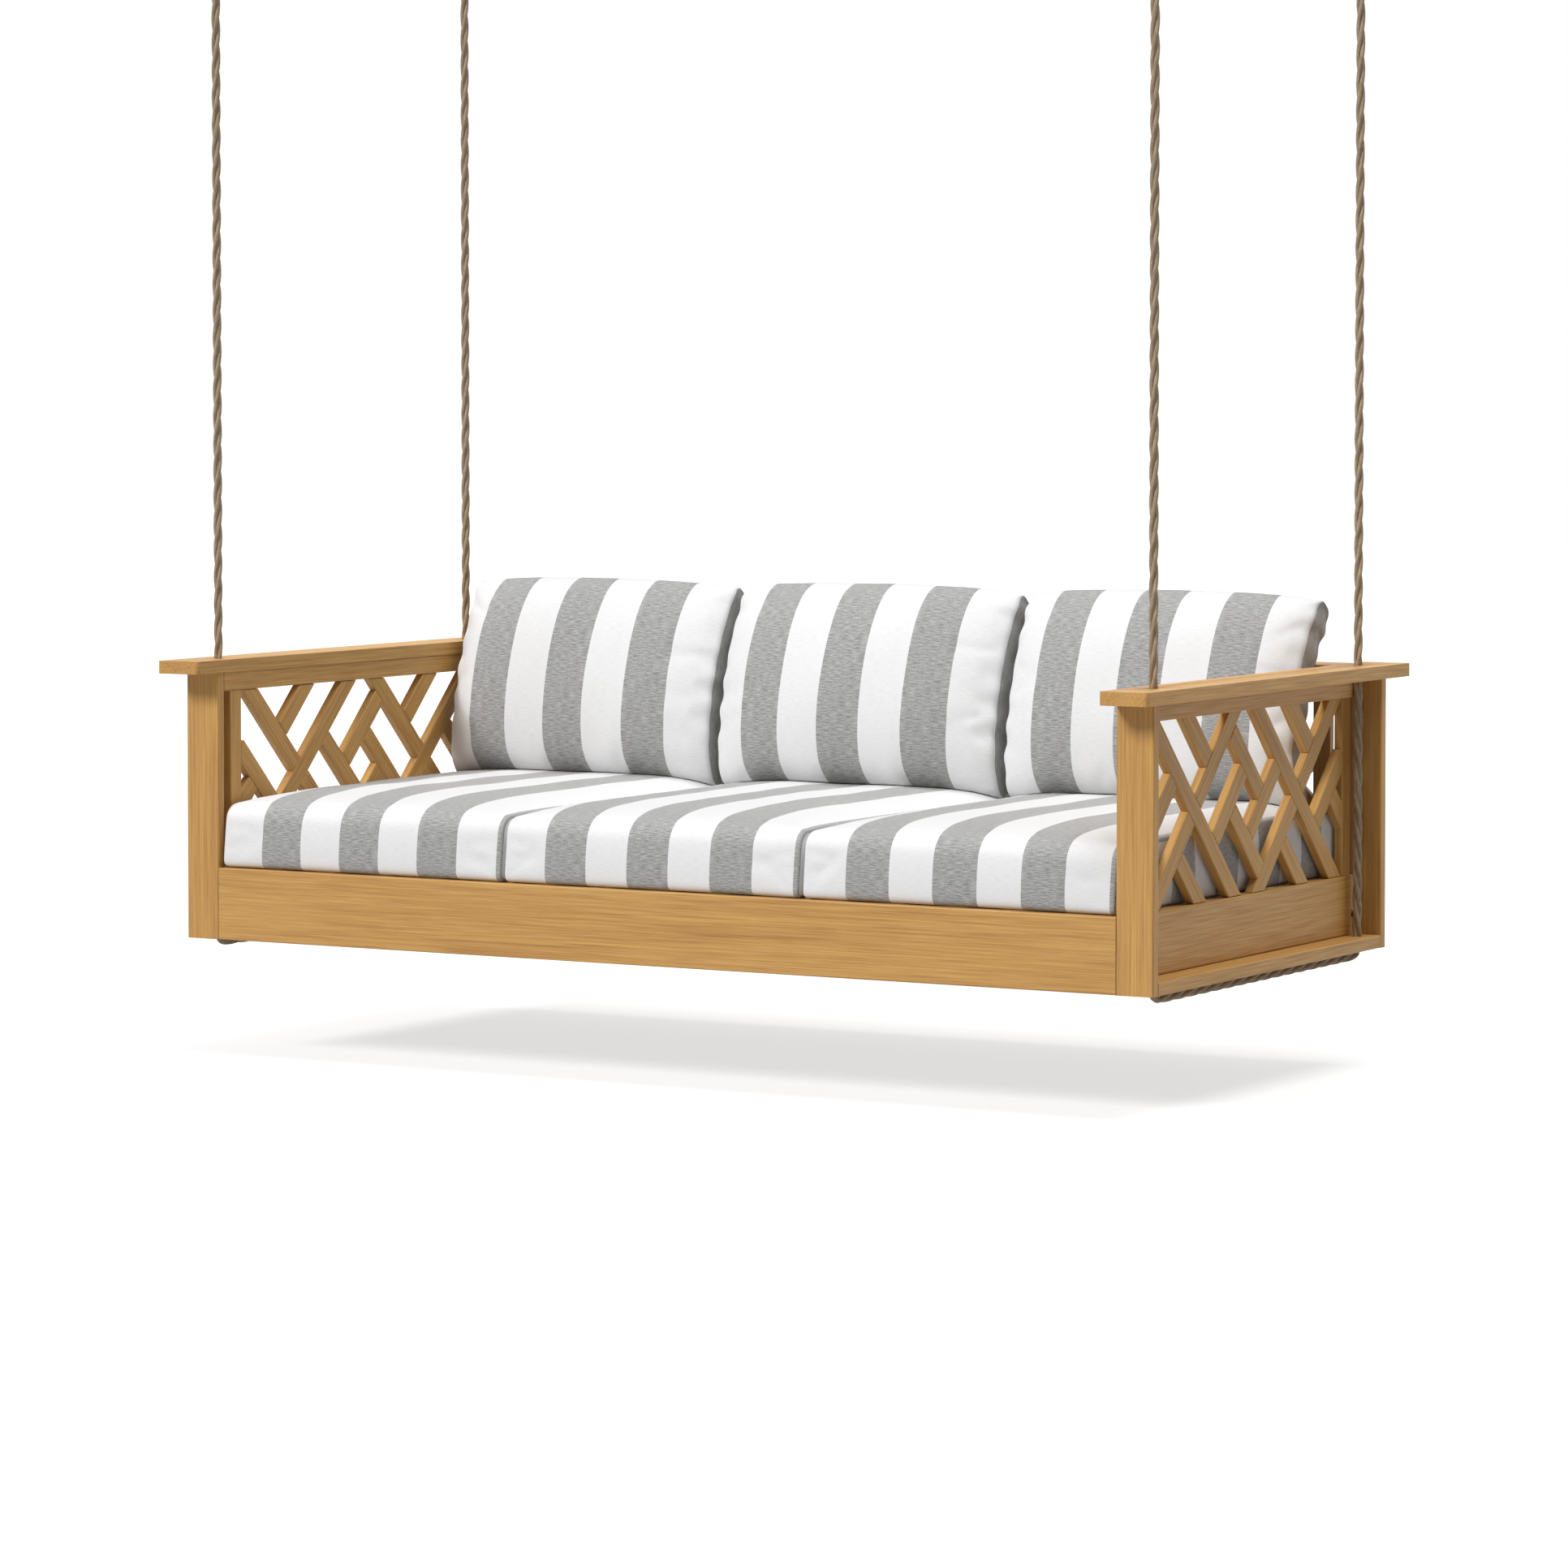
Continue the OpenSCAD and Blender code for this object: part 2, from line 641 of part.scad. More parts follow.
// Rings of a cushion: [inset from the side, height, share of the full outline, crown on it]
function cushion_rings(low_r, high_r, t) = concat(
    [for (k = [0.35, 0.7]) [low_r, 0, k, -1]],
    [for (a = [0, 30, 60, 90]) [low_r * (1 - sin(a)), low_r * (1 - cos(a)), 1, -1]],
    [for (a = [0, 22.5, 45, 67.5, 90]) [high_r * (1 - cos(a)), t - high_r * (1 - sin(a)), 1, 1]],
    [for (k = [0.85, 0.6, 0.3]) [high_r, t, k, 1]]);

// All points of a cushion of half sizes hx and hy: its rings, then its two middles
function cushion_points(hx, hy, rings, t, high_crown, low_crown, px, py, corner) = concat(
    [for (g = rings, p = outline(hx - g[0], hy - g[0], max(corner - g[0], 4)))
        let (q = drawn([p[0] * g[2], p[1] * g[2]], hx, hy, draw_in))
        [q[0], q[1], g[1] + (g[3] > 0 ? high_crown * g[1] / t : low_crown * (1 - g[1] / t))
            * crown(q, hx, hy, px, py)]],
    [[0, 0, low_crown], [0, 0, t + high_crown]]);

function cushion_faces(n, m) = concat(
    [for (k = [0:m - 1]) [n * m, k, (k + 1) % m]],
    [for (k = [0:m - 1]) [n * m + 1, (n - 1) * m + (k + 1) % m, (n - 1) * m + k]],
    [for (i = [0:n - 2], k = [0:m - 1]) [i * m + k, i * m + m + k, i * m + (k + 1) % m]],
    [for (i = [0:n - 2], k = [0:m - 1]) [i * m + m + k, i * m + m + (k + 1) % m, i * m + (k + 1) % m]]);

ring_points = 4 * (OUT_SIDES + OUT_TURNS);

// A seat cushion: flat below, crowned above, with a round top edge
module seat_cushion(i) {
    rings = cushion_rings(12, seat_edge_r, seat_edge_t);
    points = cushion_points(cushion_w / 2 - cushion_gap / 2, seat_d / 2, rings, seat_edge_t,
                            seat_crown, 0, 2.2, 6, 40);
    color(CLOTH) translate([CUSHION_X[i], seat_back - seat_d / 2, drop + seat_low])
        polyhedron(points, cushion_faces(len(rings), ring_points), convexity = 4);
}

// Height of the seat's top under a back cushion, at x from the cushion's middle
function seat_top(x) = seat_edge_top + seat_crown * max(0, 1 - pow(abs(x) * 2 / cushion_w, 2.2)) + 1.5;

// A back cushion's point moved from flat to leaning: its foot follows the seat, and it
// bends backwards by the square of the height
function leaned(p, h) =
    let (up = (p[1] + h / 2) / h, foot = seat_top(p[0]), top = seat_edge_top + back_rise,
         slope = 2 * back_lean * up / h)
    [p[0],
     half_depth - back_foot + back_lean * up * up - p[2],
     foot + (top - foot) * up + p[2] * slope * 0.5];

// A back cushion: a side panel all round, and crowned faces front and back
module back_cushion(i) {
    h = back_rise - 2;
    rings = cushion_rings(14, 14, back_edge_t);
    flat = cushion_points(cushion_w / 2 - cushion_gap / 2, h / 2, rings, back_edge_t,
                          back_crown_front, -back_crown_rear, 2.2, 2.2, 36);
    points = [for (p = flat) leaned([p[0], p[1], p[2] - back_edge_t / 2], h)];
    color(CLOTH) translate([CUSHION_X[i], 0, drop])
        polyhedron(points, cushion_faces(len(rings), ring_points), convexity = 4);
}

// ---------------------------------------------------------------- the nodes

ceiling_eyes();
links(-1);  // links_left
links(1);  // links_right
taut_rope(-1, -1);  // rope_front_left
taut_rope(1, -1);  // rope_front_right
taut_rope(-1, 1);  // rope_back_left
taut_rope(1, 1);  // rope_back_right
splice(-1, -1);  // splice_front_left
splice(1, -1);  // splice_front_right
splice(-1, 1);  // splice_back_left
splice(1, 1);  // splice_back_right
thimble(-1, -1);  // thimble_front_left
thimble(1, -1);  // thimble_front_right
thimble(-1, 1);  // thimble_back_left
thimble(1, 1);  // thimble_back_right
rope_bend(-1, -1);  // rope_bend_front_left
union() {  // rope_bends
    rope_bend(1, -1);
    rope_bend(-1, 1);
    rope_bend(1, 1);
}
rope_run(-1);  // rope_run_left
rope_run(1);  // rope_run_right
post(-1, -1);  // post_front_left
post(1, -1);  // post_front_right
post(-1, 1);  // post_back_left
post(1, 1);  // post_back_right
long_rail(-1);  // rail_front
long_rail(1);  // rail_back
side_rail(-1);  // side_rail_left
side_rail(1);  // side_rail_right
ledge(-1);  // ledge_left
ledge(1);  // ledge_right
armrest(-1);  // armrest_left
armrest(1);  // armrest_right
back_cap();
arm_rail(-1);  // arm_rail_left
arm_rail(1);  // arm_rail_right
back_top_rail();
arm_stiles(-1);  // arm_stiles_left
arm_stiles(1);  // arm_stiles_right
back_stiles();
back_mullion();
side_lattice(-1);  // lattice_left
side_lattice(1);  // lattice_right
back_lattice(-1);  // lattice_back_left
back_lattice(1);  // lattice_back_right
seat_slats();
slat_ledgers();
seat_beam();
corner_blocks();
corner_cleats();
corner_bolts();
cleat_screws();
slat_screws();
seat_cushion(0);  // seat_cushion_left
seat_cushion(1);  // seat_cushion_middle
seat_cushion(2);  // seat_cushion_right
back_cushion(0);  // back_cushion_left
back_cushion(1);  // back_cushion_middle
back_cushion(2);  // back_cushion_right
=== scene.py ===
# %% [markdown]
# # A hanging swing bed
#
# The object is a timber day bed that hangs on rope: boards, diagonal lattices, six striped
# cushions, and four taut stretches of laid rope with steel fittings at the ceiling.
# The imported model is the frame: every board, link and screw in it is exact, so the work here
# is the rope's strands, the cushions' cloth, softened timber edges and the finishes.
#
# All places are in metres, in the model's own frame: X to the right, Y to the back, Z up,
# with the origin on the ceiling.

# %% The frame and the helpers' libraries
import json
import math

import bmesh
import bpy
import numpy as np
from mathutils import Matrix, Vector

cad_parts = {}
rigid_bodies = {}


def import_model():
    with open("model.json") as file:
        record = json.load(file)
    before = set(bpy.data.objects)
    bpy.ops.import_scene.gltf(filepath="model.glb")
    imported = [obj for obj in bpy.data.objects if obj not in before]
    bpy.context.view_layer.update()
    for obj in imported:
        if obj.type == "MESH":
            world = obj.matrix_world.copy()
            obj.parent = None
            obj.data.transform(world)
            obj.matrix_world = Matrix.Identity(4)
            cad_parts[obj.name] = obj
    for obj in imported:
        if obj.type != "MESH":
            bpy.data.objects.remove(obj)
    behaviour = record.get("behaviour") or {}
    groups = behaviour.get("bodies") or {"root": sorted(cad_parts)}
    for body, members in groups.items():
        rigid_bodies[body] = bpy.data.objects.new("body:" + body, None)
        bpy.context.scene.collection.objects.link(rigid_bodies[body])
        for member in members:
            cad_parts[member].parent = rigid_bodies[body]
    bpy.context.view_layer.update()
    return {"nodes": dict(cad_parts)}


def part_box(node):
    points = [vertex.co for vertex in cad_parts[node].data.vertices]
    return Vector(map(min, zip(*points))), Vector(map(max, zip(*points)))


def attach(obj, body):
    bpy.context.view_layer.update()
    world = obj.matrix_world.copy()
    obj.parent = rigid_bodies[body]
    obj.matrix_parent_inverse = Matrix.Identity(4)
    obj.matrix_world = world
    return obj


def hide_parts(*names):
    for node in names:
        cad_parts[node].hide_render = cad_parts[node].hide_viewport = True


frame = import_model()
NODES = frame["nodes"]

# %% [markdown]
# ## Places that the pieces share
#
# Nothing is measured twice: the boards' boxes say where the rope's holes, the seat and the
# ceiling fittings are. A value that a box can't give is written in millimetres and turned
# into metres once.

# %% Places
MM = 0.001
post_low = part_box("post_front_left")[0]
arm_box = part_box("armrest_left")
rope_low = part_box("rope_front_left")[0]
rope_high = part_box("rope_front_left")[1]
FEET = post_low.z
ARM_TOP = arm_box[1].z
ROPE_X = -(rope_low.x + rope_high.x) / 2
ROPE_Y = -(rope_low.y + rope_high.y) / 2
SPLICE_FOOT = rope_high.z
ROPE_D = 16 * MM
FRONT = post_low.y
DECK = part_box("seat_cushion_left")[0].z
CORNERS = {
    "front_left": (-1, -1), "front_right": (1, -1),
    "back_left": (-1, 1), "back_right": (1, 1),
}
print(f"feet {FEET:.4f}, armrest top {ARM_TOP:.4f}, rope at +-{ROPE_X:.4f}, +-{ROPE_Y:.4f}")

# %% [markdown]
# ## The camera
#
# The photograph was taken from far away, 30 degrees to the right of the front, a little above
# the cushions. A long lens keeps upright edges nearly parallel. A little more than half of the
# downward framing comes from a tilt, and the rest from lens shift, which leans no post.

# %% Camera
PHOTO_WIDE = 1932
FOCAL_PIXELS = 6976
HORIZON_ABOVE_MIDDLE = 522.6
SENSOR = 36
LENS = SENSOR * FOCAL_PIXELS / PHOTO_WIDE
DOWN = math.atan(HORIZON_ABOVE_MIDDLE / FOCAL_PIXELS)
SHIFT = 0.12
CAMERA_X, CAMERA_Y, CAMERA_ABOVE_FEET = 5.4803, -9.4833, 1.1283
CAMERA_TURN = math.radians(30)
camera_data = bpy.data.cameras.new("camera")
camera_data.lens = LENS
camera_data.sensor_width = SENSOR
camera_data.shift_y = -SHIFT
camera = bpy.data.objects.new("camera", camera_data)
camera.location = (CAMERA_X, CAMERA_Y, FEET + CAMERA_ABOVE_FEET)
tilt = DOWN - math.atan(SHIFT * SENSOR / LENS)
camera.rotation_euler = (math.pi / 2 - tilt, 0, CAMERA_TURN)
bpy.context.scene.collection.objects.link(camera)
bpy.context.scene.camera = camera
camera_data.clip_end = 60
print(f"lens {LENS:.1f} mm, tilted down {math.degrees(tilt):.2f} degrees")

# %% [markdown]
# ## Surfaces from arrays
#
# A shape here is an array of points: rows along one parameter, columns along the other. One
# helper turns such a grid into faces, so a rope strand, a cushion's cover and a boxing strip
# are all made the same way, without a loop over vertices.

# %% Grid to mesh
def grid_faces(rows, cols, close_rows=False, close_cols=False, start=0):
    """Quads between neighbours of a grid whose point (i, j) has number start + i * cols + j.
    A closed direction also joins the last line to the first."""
    i = np.arange(rows if close_rows else rows - 1)
    j = np.arange(cols if close_cols else cols - 1)
    i, j = np.meshgrid(i, j, indexing="ij")
    i2, j2 = (i + 1) % rows, (j + 1) % cols
    quads = np.stack([i * cols + j, i2 * cols + j, i2 * cols + j2, i * cols + j2], axis=-1)
    return start + quads.reshape(-1, 4)


def mesh_object(name, points, faces, uv=None, smooth=True):
    """A mesh object from an array of points, a list or array of faces, and an optional array
    of one UV pair for each face corner."""
    mesh = bpy.data.meshes.new(name)
    mesh.from_pydata(np.asarray(points).reshape(-1, 3).tolist(), [],
                     [list(map(int, face)) for face in faces])
    if uv is not None:
        layer = mesh.uv_layers.new(name="weave")
        layer.data.foreach_set("uv", np.asarray(uv, np.float32).ravel())
    mesh.polygons.foreach_set("use_smooth", np.full(len(mesh.polygons), smooth))
    mesh.update()
    piece = bpy.data.objects.new(name, mesh)
    bpy.context.scene.collection.objects.link(piece)
    return piece


def points_of(mesh):
    """A mesh's points as an array with one row for each."""
    co = np.empty(len(mesh.vertices) * 3)
    mesh.vertices.foreach_get("co", co)
    return co.reshape(-1, 3)


def set_material(piece, *materials):
    """Gives a piece these materials and no others."""
    numbers = np.zeros(len(piece.data.polygons), int)
    piece.data.polygons.foreach_get("material_index", numbers)
    piece.data.materials.clear()
    for material in materials:
        piece.data.materials.append(material)
    piece.data.polygons.foreach_set("material_index", np.minimum(numbers, len(materials) - 1))


# %% [markdown]
# ## Laid rope
#
# The rope is three strands laid round each other, right-handed and slow: a full turn takes
# nearly ten rope diameters. Each strand is a tube, and its middle runs on a spiral round the
# rope's own path. Three equal circles that just touch in a circle of radius R have the radius
# R / 2.15. Soft strands press into each other, so here each is a little fatter, R / 2.05.

# %% Strands along a path
LAY = 156 * MM
STRAND_SIDES = 16
STRANDS_ACROSS = 2.05
PATTERN_APART = 0.37


def frames_along(path, across):
    """Unit vectors of a path in one plane: along it, square to it in the plane, and across."""
    along = np.gradient(path, axis=0)
    along /= np.linalg.norm(along, axis=1, keepdims=True)
    across = np.broadcast_to(np.asarray(across, float), path.shape)
    return along, np.cross(across, along), across


def lengths_along(path):
    """Distance along a path at each of its points."""
    return np.concatenate([[0], np.cumsum(np.linalg.norm(np.diff(path, axis=0), axis=1))])


def resampled(path, step):
    """The same path with points every step, by linear interpolation on its length."""
    path = np.asarray(path, float)
    s = lengths_along(path)
    t = np.linspace(0, s[-1], max(2, int(round(s[-1] / step)) + 1))
    return np.stack([np.interp(t, s, path[:, k]) for k in range(3)], axis=1)


def strand_tubes(path, radius, phase=0.0, strands=3, across=(1, 0, 0), offset=None,
                 thick=None, lay=LAY):
    """Points, faces and UVs of strands that spiral along a path.

    The middle of strand k at length s is path(s) + off * (cos a * side + sin a * across),
    with a = phase + 2 pi (s / lay + k / strands). Round it stands a circle, square to the
    path, of the strand's own radius. UV: along the strand, and round it, in metres, with
    PATTERN_APART between two strands so that their patterns differ."""
    along, side, cross = frames_along(path, across)
    s = lengths_along(path)
    fit = radius / STRANDS_ACROSS
    off = np.full(len(s), radius - fit) if offset is None else offset
    fat = np.full(len(s), fit) if thick is None else thick
    round_it = np.linspace(0, 2 * np.pi, STRAND_SIDES, endpoint=False)
    points, faces, uvs = [], [], []
    for k in range(strands):
        a = phase + 2 * np.pi * (s / lay + k / strands)
        middle = path + off[:, None] * (np.cos(a)[:, None] * side + np.sin(a)[:, None] * cross)
        turn = round_it[None, :] + a[:, None]
        ring = (np.cos(turn)[..., None] * side[:, None, :]
                + np.sin(turn)[..., None] * cross[:, None, :])
        tube = middle[:, None, :] + fat[:, None, None] * ring
        start = sum(len(p) for p in points)
        quads = grid_faces(len(s), STRAND_SIDES, close_cols=True, start=start)
        points.append(tube.reshape(-1, 3))
        faces.append(quads)
        row, col = np.divmod(quads - start, STRAND_SIDES)
        wrap = (col == 0) & (np.arange(4)[None, :] >= 2)
        turn_uv = (col + STRAND_SIDES * wrap) / STRAND_SIDES
        uvs.append(np.stack([s[row] + k * PATTERN_APART, turn_uv * 2 * np.pi * fit], axis=-1))
    return points, faces, uvs


def close_ends(piece):
    """Fills each open end with one face, and turns all faces outwards."""
    mesh = bmesh.new()
    mesh.from_mesh(piece.data)
    open_edges = [e for e in mesh.edges if e.is_boundary]
    if open_edges:
        bmesh.ops.holes_fill(mesh, edges=open_edges, sides=0)
    bmesh.ops.recalc_face_normals(mesh, faces=mesh.faces)
    mesh.to_mesh(piece.data)
    mesh.free()


def rope_piece(name, runs):
    """One mesh of strands for a list of runs, each a dictionary for strand_tubes."""
    points, faces, uvs, count = [], [], [], 0
    for run in runs:
        p, f, u = strand_tubes(**run)
        for part, quads, uv in zip(p, f, u):
            points.append(part)
            faces.append(quads + count)
            uvs.append(uv)
        count += sum(len(part) for part in p)
    piece = mesh_object(name, np.concatenate(points), np.concatenate(faces),
                        np.concatenate(uvs).reshape(-1, 2))
    close_ends(piece)
    return piece


# %% [markdown]
# ## The four taut ropes
#
# A loaded rope is straight. Each one starts in the mouth of its hole in the armrest, where it
# bends as the bed swings, and ends at the foot of its splice. On each side the strands' phase
# depends on the height alone, so the separate stretches line up as one rope.

# %% Taut ropes
STEP = 3 * MM
BEND = ROPE_D / 2
STRANDS_R = 8.6 * MM
RIGHT_PHASE = 1.3
DIP = 3 * MM
SPLICE_OVERLAP = 4 * MM


def phase_at(z, sx):
    """Phase of the strands at a height on the side sx, -1 or 1: 2 pi times the turns of lay
    between the feet and z, and RIGHT_PHASE more on the right."""
    return 2 * np.pi * (z - FEET) / LAY + (0 if sx < 0 else RIGHT_PHASE)


def upright(x, y, low, high):
    """A straight path from low to high at one place in plan."""
    return resampled([(x, y, low), (x, y, high)], STEP)


ropes = {}
for corner, (sx, sy) in CORNERS.items():
    x, y = sx * ROPE_X, sy * ROPE_Y
    low = ARM_TOP - DIP
    path = upright(x, y, low, SPLICE_FOOT + SPLICE_OVERLAP)
    rope = rope_piece("laid_rope_" + corner,
                      [dict(path=path, radius=STRANDS_R, phase=phase_at(low, sx))])
    ropes[corner] = (rope, path)
print("taut ropes:", len(ropes), "of", round(lengths_along(path)[-1], 3), "m")

# %% [markdown]
# ## The lower runs
#
# On each side one rope goes down through the armrest and the bottom board, turns under it and
# comes up again at the back. The route follows the solid's: straight, a short bend, and
# straight again, rounded by a running mean. The photograph shows more rope below the board
# than the solid does, so here the run is RUN_LOWER deeper and has the fuller radius RUN_R.

# %% Lower runs and the bends in the armrests' mouths
def smoothed(path, times):
    """Rounds a path's corners: each inner point moves to the mean of its neighbours and itself."""
    for _ in range(times):
        path[1:-1] = (path[:-2] + path[1:-1] + path[2:]) / 3
    return path


RUN_BEND = [(0, 16), (1, 10), (4, 4), (9, 1), (16, 0)]
RUN_R = 9.2 * MM
RUN_LOWER = 3 * MM
RUN_TOP = ARM_TOP - 2 * MM
under = FEET - BEND - RUN_LOWER
for side, sx in (("left", -1), ("right", 1)):
    half = [(-ROPE_Y, RUN_TOP)]
    half += [(-ROPE_Y + a * MM, under + b * MM) for a, b in RUN_BEND]
    route = half + [(-y, z) for y, z in half[::-1]]
    path = smoothed(resampled([(sx * ROPE_X, y, z) for y, z in route], STEP), 6)
    run = rope_piece("lower_rope_" + side,
                     [dict(path=path, radius=RUN_R, phase=-phase_at(RUN_TOP, sx), lay=-LAY)])
    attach(run, "bed")
    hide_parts("rope_run_" + side)
    print("lower run", side, round(lengths_along(path)[-1], 3), "m")


KNUCKLE_R = 7.9 * MM
KNUCKLE_REACH = 7 * MM


def knuckle(sx, sy):
    """A short slimmer piece of rope about the point where a corner's rope bends."""
    path = upright(sx * ROPE_X, sy * ROPE_Y, ARM_TOP - KNUCKLE_REACH, ARM_TOP + KNUCKLE_REACH)
    return dict(path=path, radius=KNUCKLE_R, phase=phase_at(ARM_TOP, sx))


knuckles = {corner: knuckle(sx, sy) for corner, (sx, sy) in CORNERS.items()}
moving_knuckle = rope_piece("rope_knuckle_front_left", [knuckles.pop("front_left")])
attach(moving_knuckle, "flex_front_left")
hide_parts("rope_bend_front_left")
still_knuckles = rope_piece("rope_knuckles", list(knuckles.values()))
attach(still_knuckles, "bed")
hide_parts("rope_bends")

# %% [markdown]
# ## Spliced eyes
#
# At the top each rope turns round a steel thimble and its strands are tucked back into the
# rope below. A splice is therefore thicker at the top and tapers to the plain rope: three
# tucked strands lie in the grooves between the three of the rope itself. With t from 0 at the
# foot to 1 at the top, the middles and radii of both sets are simple functions of t, in mm.

# %% Splices and eyes
thimble_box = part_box("thimble_front_left")
splice_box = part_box("splice_front_left")
EYE_Z = (thimble_box[0].z + thimble_box[1].z) / 2
EYE_R = splice_box[1].z - EYE_Z - BEND
SPLICE_TOP = SPLICE_FOOT + 70 * MM
SPLICE_LOW = SPLICE_FOOT - 14 * MM
EYE_BEND = [(-9, -30), (-18, -18), (-23, -8), (-24, 0), (-21, 12), (-12, 21), (0, 24)]
for corner, (sx, sy) in CORNERS.items():
    x, y = sx * ROPE_X, sy * ROPE_Y
    half = [(-6.0 * MM, SPLICE_TOP - 26 * MM), (-8.2 * MM, SPLICE_TOP + 4 * MM)]
    half += [(a * MM, EYE_Z + b * MM) for a, b in EYE_BEND]
    route = half + [(-a, z) for a, z in half[-2::-1]]
    eye = smoothed(resampled([(x, y + a, z) for a, z in route], 1.5 * MM), 10)
    body = upright(x, y, SPLICE_LOW, SPLICE_TOP - 1 * MM)
    t = lengths_along(body) / lengths_along(body)[-1]
    shift = phase_at(SPLICE_LOW, sx)
    core = dict(path=body, radius=BEND, phase=shift,
                offset=(4.3 + 3.2 * t) * MM, thick=(3.7 + 1.6 * t) * MM)
    tucked = dict(path=body, radius=BEND, phase=shift + np.pi / 3,
                  offset=(5.4 + 6.0 * t) * MM, thick=(0.6 + 4.0 * np.sqrt(t)) * MM)
    splice = rope_piece("splice_of_" + corner,
                        [dict(path=eye, radius=BEND, phase=1.0), core, tucked])
    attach(splice, "rope_" + corner)
    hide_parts("splice_" + corner)
    rope, path = ropes[corner]
    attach(rope, "rope_" + corner)
    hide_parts("rope_" + corner)
print("eye radius", round(EYE_R / MM, 1), "mm, splice",
      round((SPLICE_TOP - SPLICE_FOOT) / MM), "mm")

# %% [markdown]
# ## Covers
#
# A cushion's cover is one long panel that wraps round the filling, front to back, and a
# boxing panel that closes each end. So the cover is a sleeve: a rounded rectangle carried
# along X, whose points a place function then moves to where the stuffed cloth lies. The two
# panels share their edge, which is the seam.

# %% A closed profile, and a sleeve with end panels
def rounded_profile(half_a, half_b, r_front, r_back, count):
    """Points of a rectangle with round corners, evenly spaced along its length. It starts in
    the middle of the low b side and runs by low a, high b and high a back to its start.
    r_front is the radius at high b, and r_back the radius at low b."""
    corners = [(-half_a + r_back, -half_b + r_back, r_back, 270, 180),
               (-half_a + r_front, half_b - r_front, r_front, 180, 90),
               (half_a - r_front, half_b - r_front, r_front, 90, 0),
               (half_a - r_back, -half_b + r_back, r_back, 0, -90)]
    parts = [np.array([[0, -half_b]])]
    for ca, cb, r, first, last in corners:
        turn = np.radians(np.linspace(first, last, 24))
        parts.append(np.stack([ca + r * np.cos(turn), cb + r * np.sin(turn)], axis=1))
    parts.append(np.array([[0, -half_b]]))
    loop = np.concatenate(parts)
    s = lengths_along(loop)
    t = np.linspace(0, s[-1], count, endpoint=False)
    return np.stack([np.interp(t, s, loop[:, 0]), np.interp(t, s, loop[:, 1])], axis=1), t


CROWDING = 0.92
END_RINGS = 5


def sleeve(name, half_x, profile, along, reach, cols, place, sleeve_u, end_shift=0.0):
    """A closed cover: a sleeve over a profile and two end panels.

    Sleeve point (i, j) is place(x_i, profile_j, 0), with the columns closer together at both
    ends. An end panel's ring k moves the profile towards its spine by the share k / rings, so
    its last ring lies on the spine, the profile's middle line within reach of its centre. UVs
    are in metres: sleeve_u of x and the length round the profile on the sleeve, and the
    profile's own two values on the ends, the first moved by end_shift. Faces of the end
    panels have material number 1."""
    count, rings = len(profile), END_RINGS
    spine = np.stack([np.clip(profile[:, 0], -reach, reach), np.zeros(count)], axis=1)
    e = np.linspace(-1, 1, cols) * CROWDING * np.pi / 2
    x = half_x * np.sin(e) / np.sin(e[-1])
    grid = place(x[:, None], np.broadcast_to(profile, (cols, count, 2)), 0.0)
    quads = grid_faces(cols, count, close_cols=True)
    row, col = np.divmod(quads, count)
    around = np.append(along, 2 * along[-1] - along[-2])
    closing = (col == 0) & (col.max(axis=1) == count - 1)[:, None]
    uv = np.stack([sleeve_u(x[row]), around[np.where(closing, count, col)]], axis=-1)
    points, faces, uvs = [grid.reshape(-1, 3)], [quads], [uv]
    number = [np.zeros(len(quads), int)]
    base = cols * count
    for side, edge in ((-1, 0), (1, cols - 1)):
        share = np.arange(1, rings + 1)[:, None] / rings
        loops = profile[None] + share[..., None] * (spine - profile)[None]
        ring = place(np.full((rings, 1), side * half_x), loops, share)
        points.append(ring.reshape(-1, 3))
        lines = np.vstack([edge * count + np.arange(count)[None],
                           base + np.arange(rings * count).reshape(rings, count)])
        index = grid_faces(rings + 1, count, close_cols=True)
        flat = np.concatenate([profile[None], loops]).reshape(-1, 2)[index]
        uvs.append(np.stack([flat[..., 0] + end_shift, flat[..., 1]], axis=-1))
        faces.append(lines.reshape(-1)[index])
        number.append(np.ones(len(index), int))
        base += rings * count
    piece = mesh_object(name, np.concatenate(points), np.concatenate(faces),
                        np.concatenate(uvs).reshape(-1, 2))
    piece.data.polygons.foreach_set("material_index", np.concatenate(number))
    mesh = bmesh.new()
    mesh.from_mesh(piece.data)
    bmesh.ops.remove_doubles(mesh, verts=mesh.verts, dist=0.05 * MM)
    thin = [f for f in mesh.faces if f.calc_area() < 1e-12]
    bmesh.ops.delete(mesh, geom=thin, context="FACES_ONLY")
    bmesh.ops.recalc_face_normals(mesh, faces=mesh.faces)
    mesh.to_mesh(piece.data)
    mesh.free()
    return piece


def bowl(t, power):
    """1 in the middle and 0 at +-1: a crown's share across a panel."""
    return np.clip(1 - np.abs(t) ** power, 0, 1)


def rise(value, low, high):
    """0 below low, 1 above high, and a smooth step between."""
    t = np.clip((value - low) / (high - low), 0, 1)
    return t * t * (3 - 2 * t)


def end_inset(x, half_x, reach, depth):
    """How far a profile shrinks near an end, so that the seam rounds over: with e from 0 at
    reach before the end to 1 at the end, depth * (1 - sqrt(1 - 0.98 e ** 2))."""
    end = np.clip((np.abs(x) - (half_x - reach)) / reach, 0, 1)
    return depth * (1 - np.sqrt(1 - 0.98 * end ** 2))


# %% [markdown]
# Cloth is never quite even. Two kinds of unevenness are the same on all the cushions: broad
# shallow waves in the filling, and creases, which are short grooves that start at a seam and
# die out. Both are sums of simple functions with seeded places, so each run is the same.

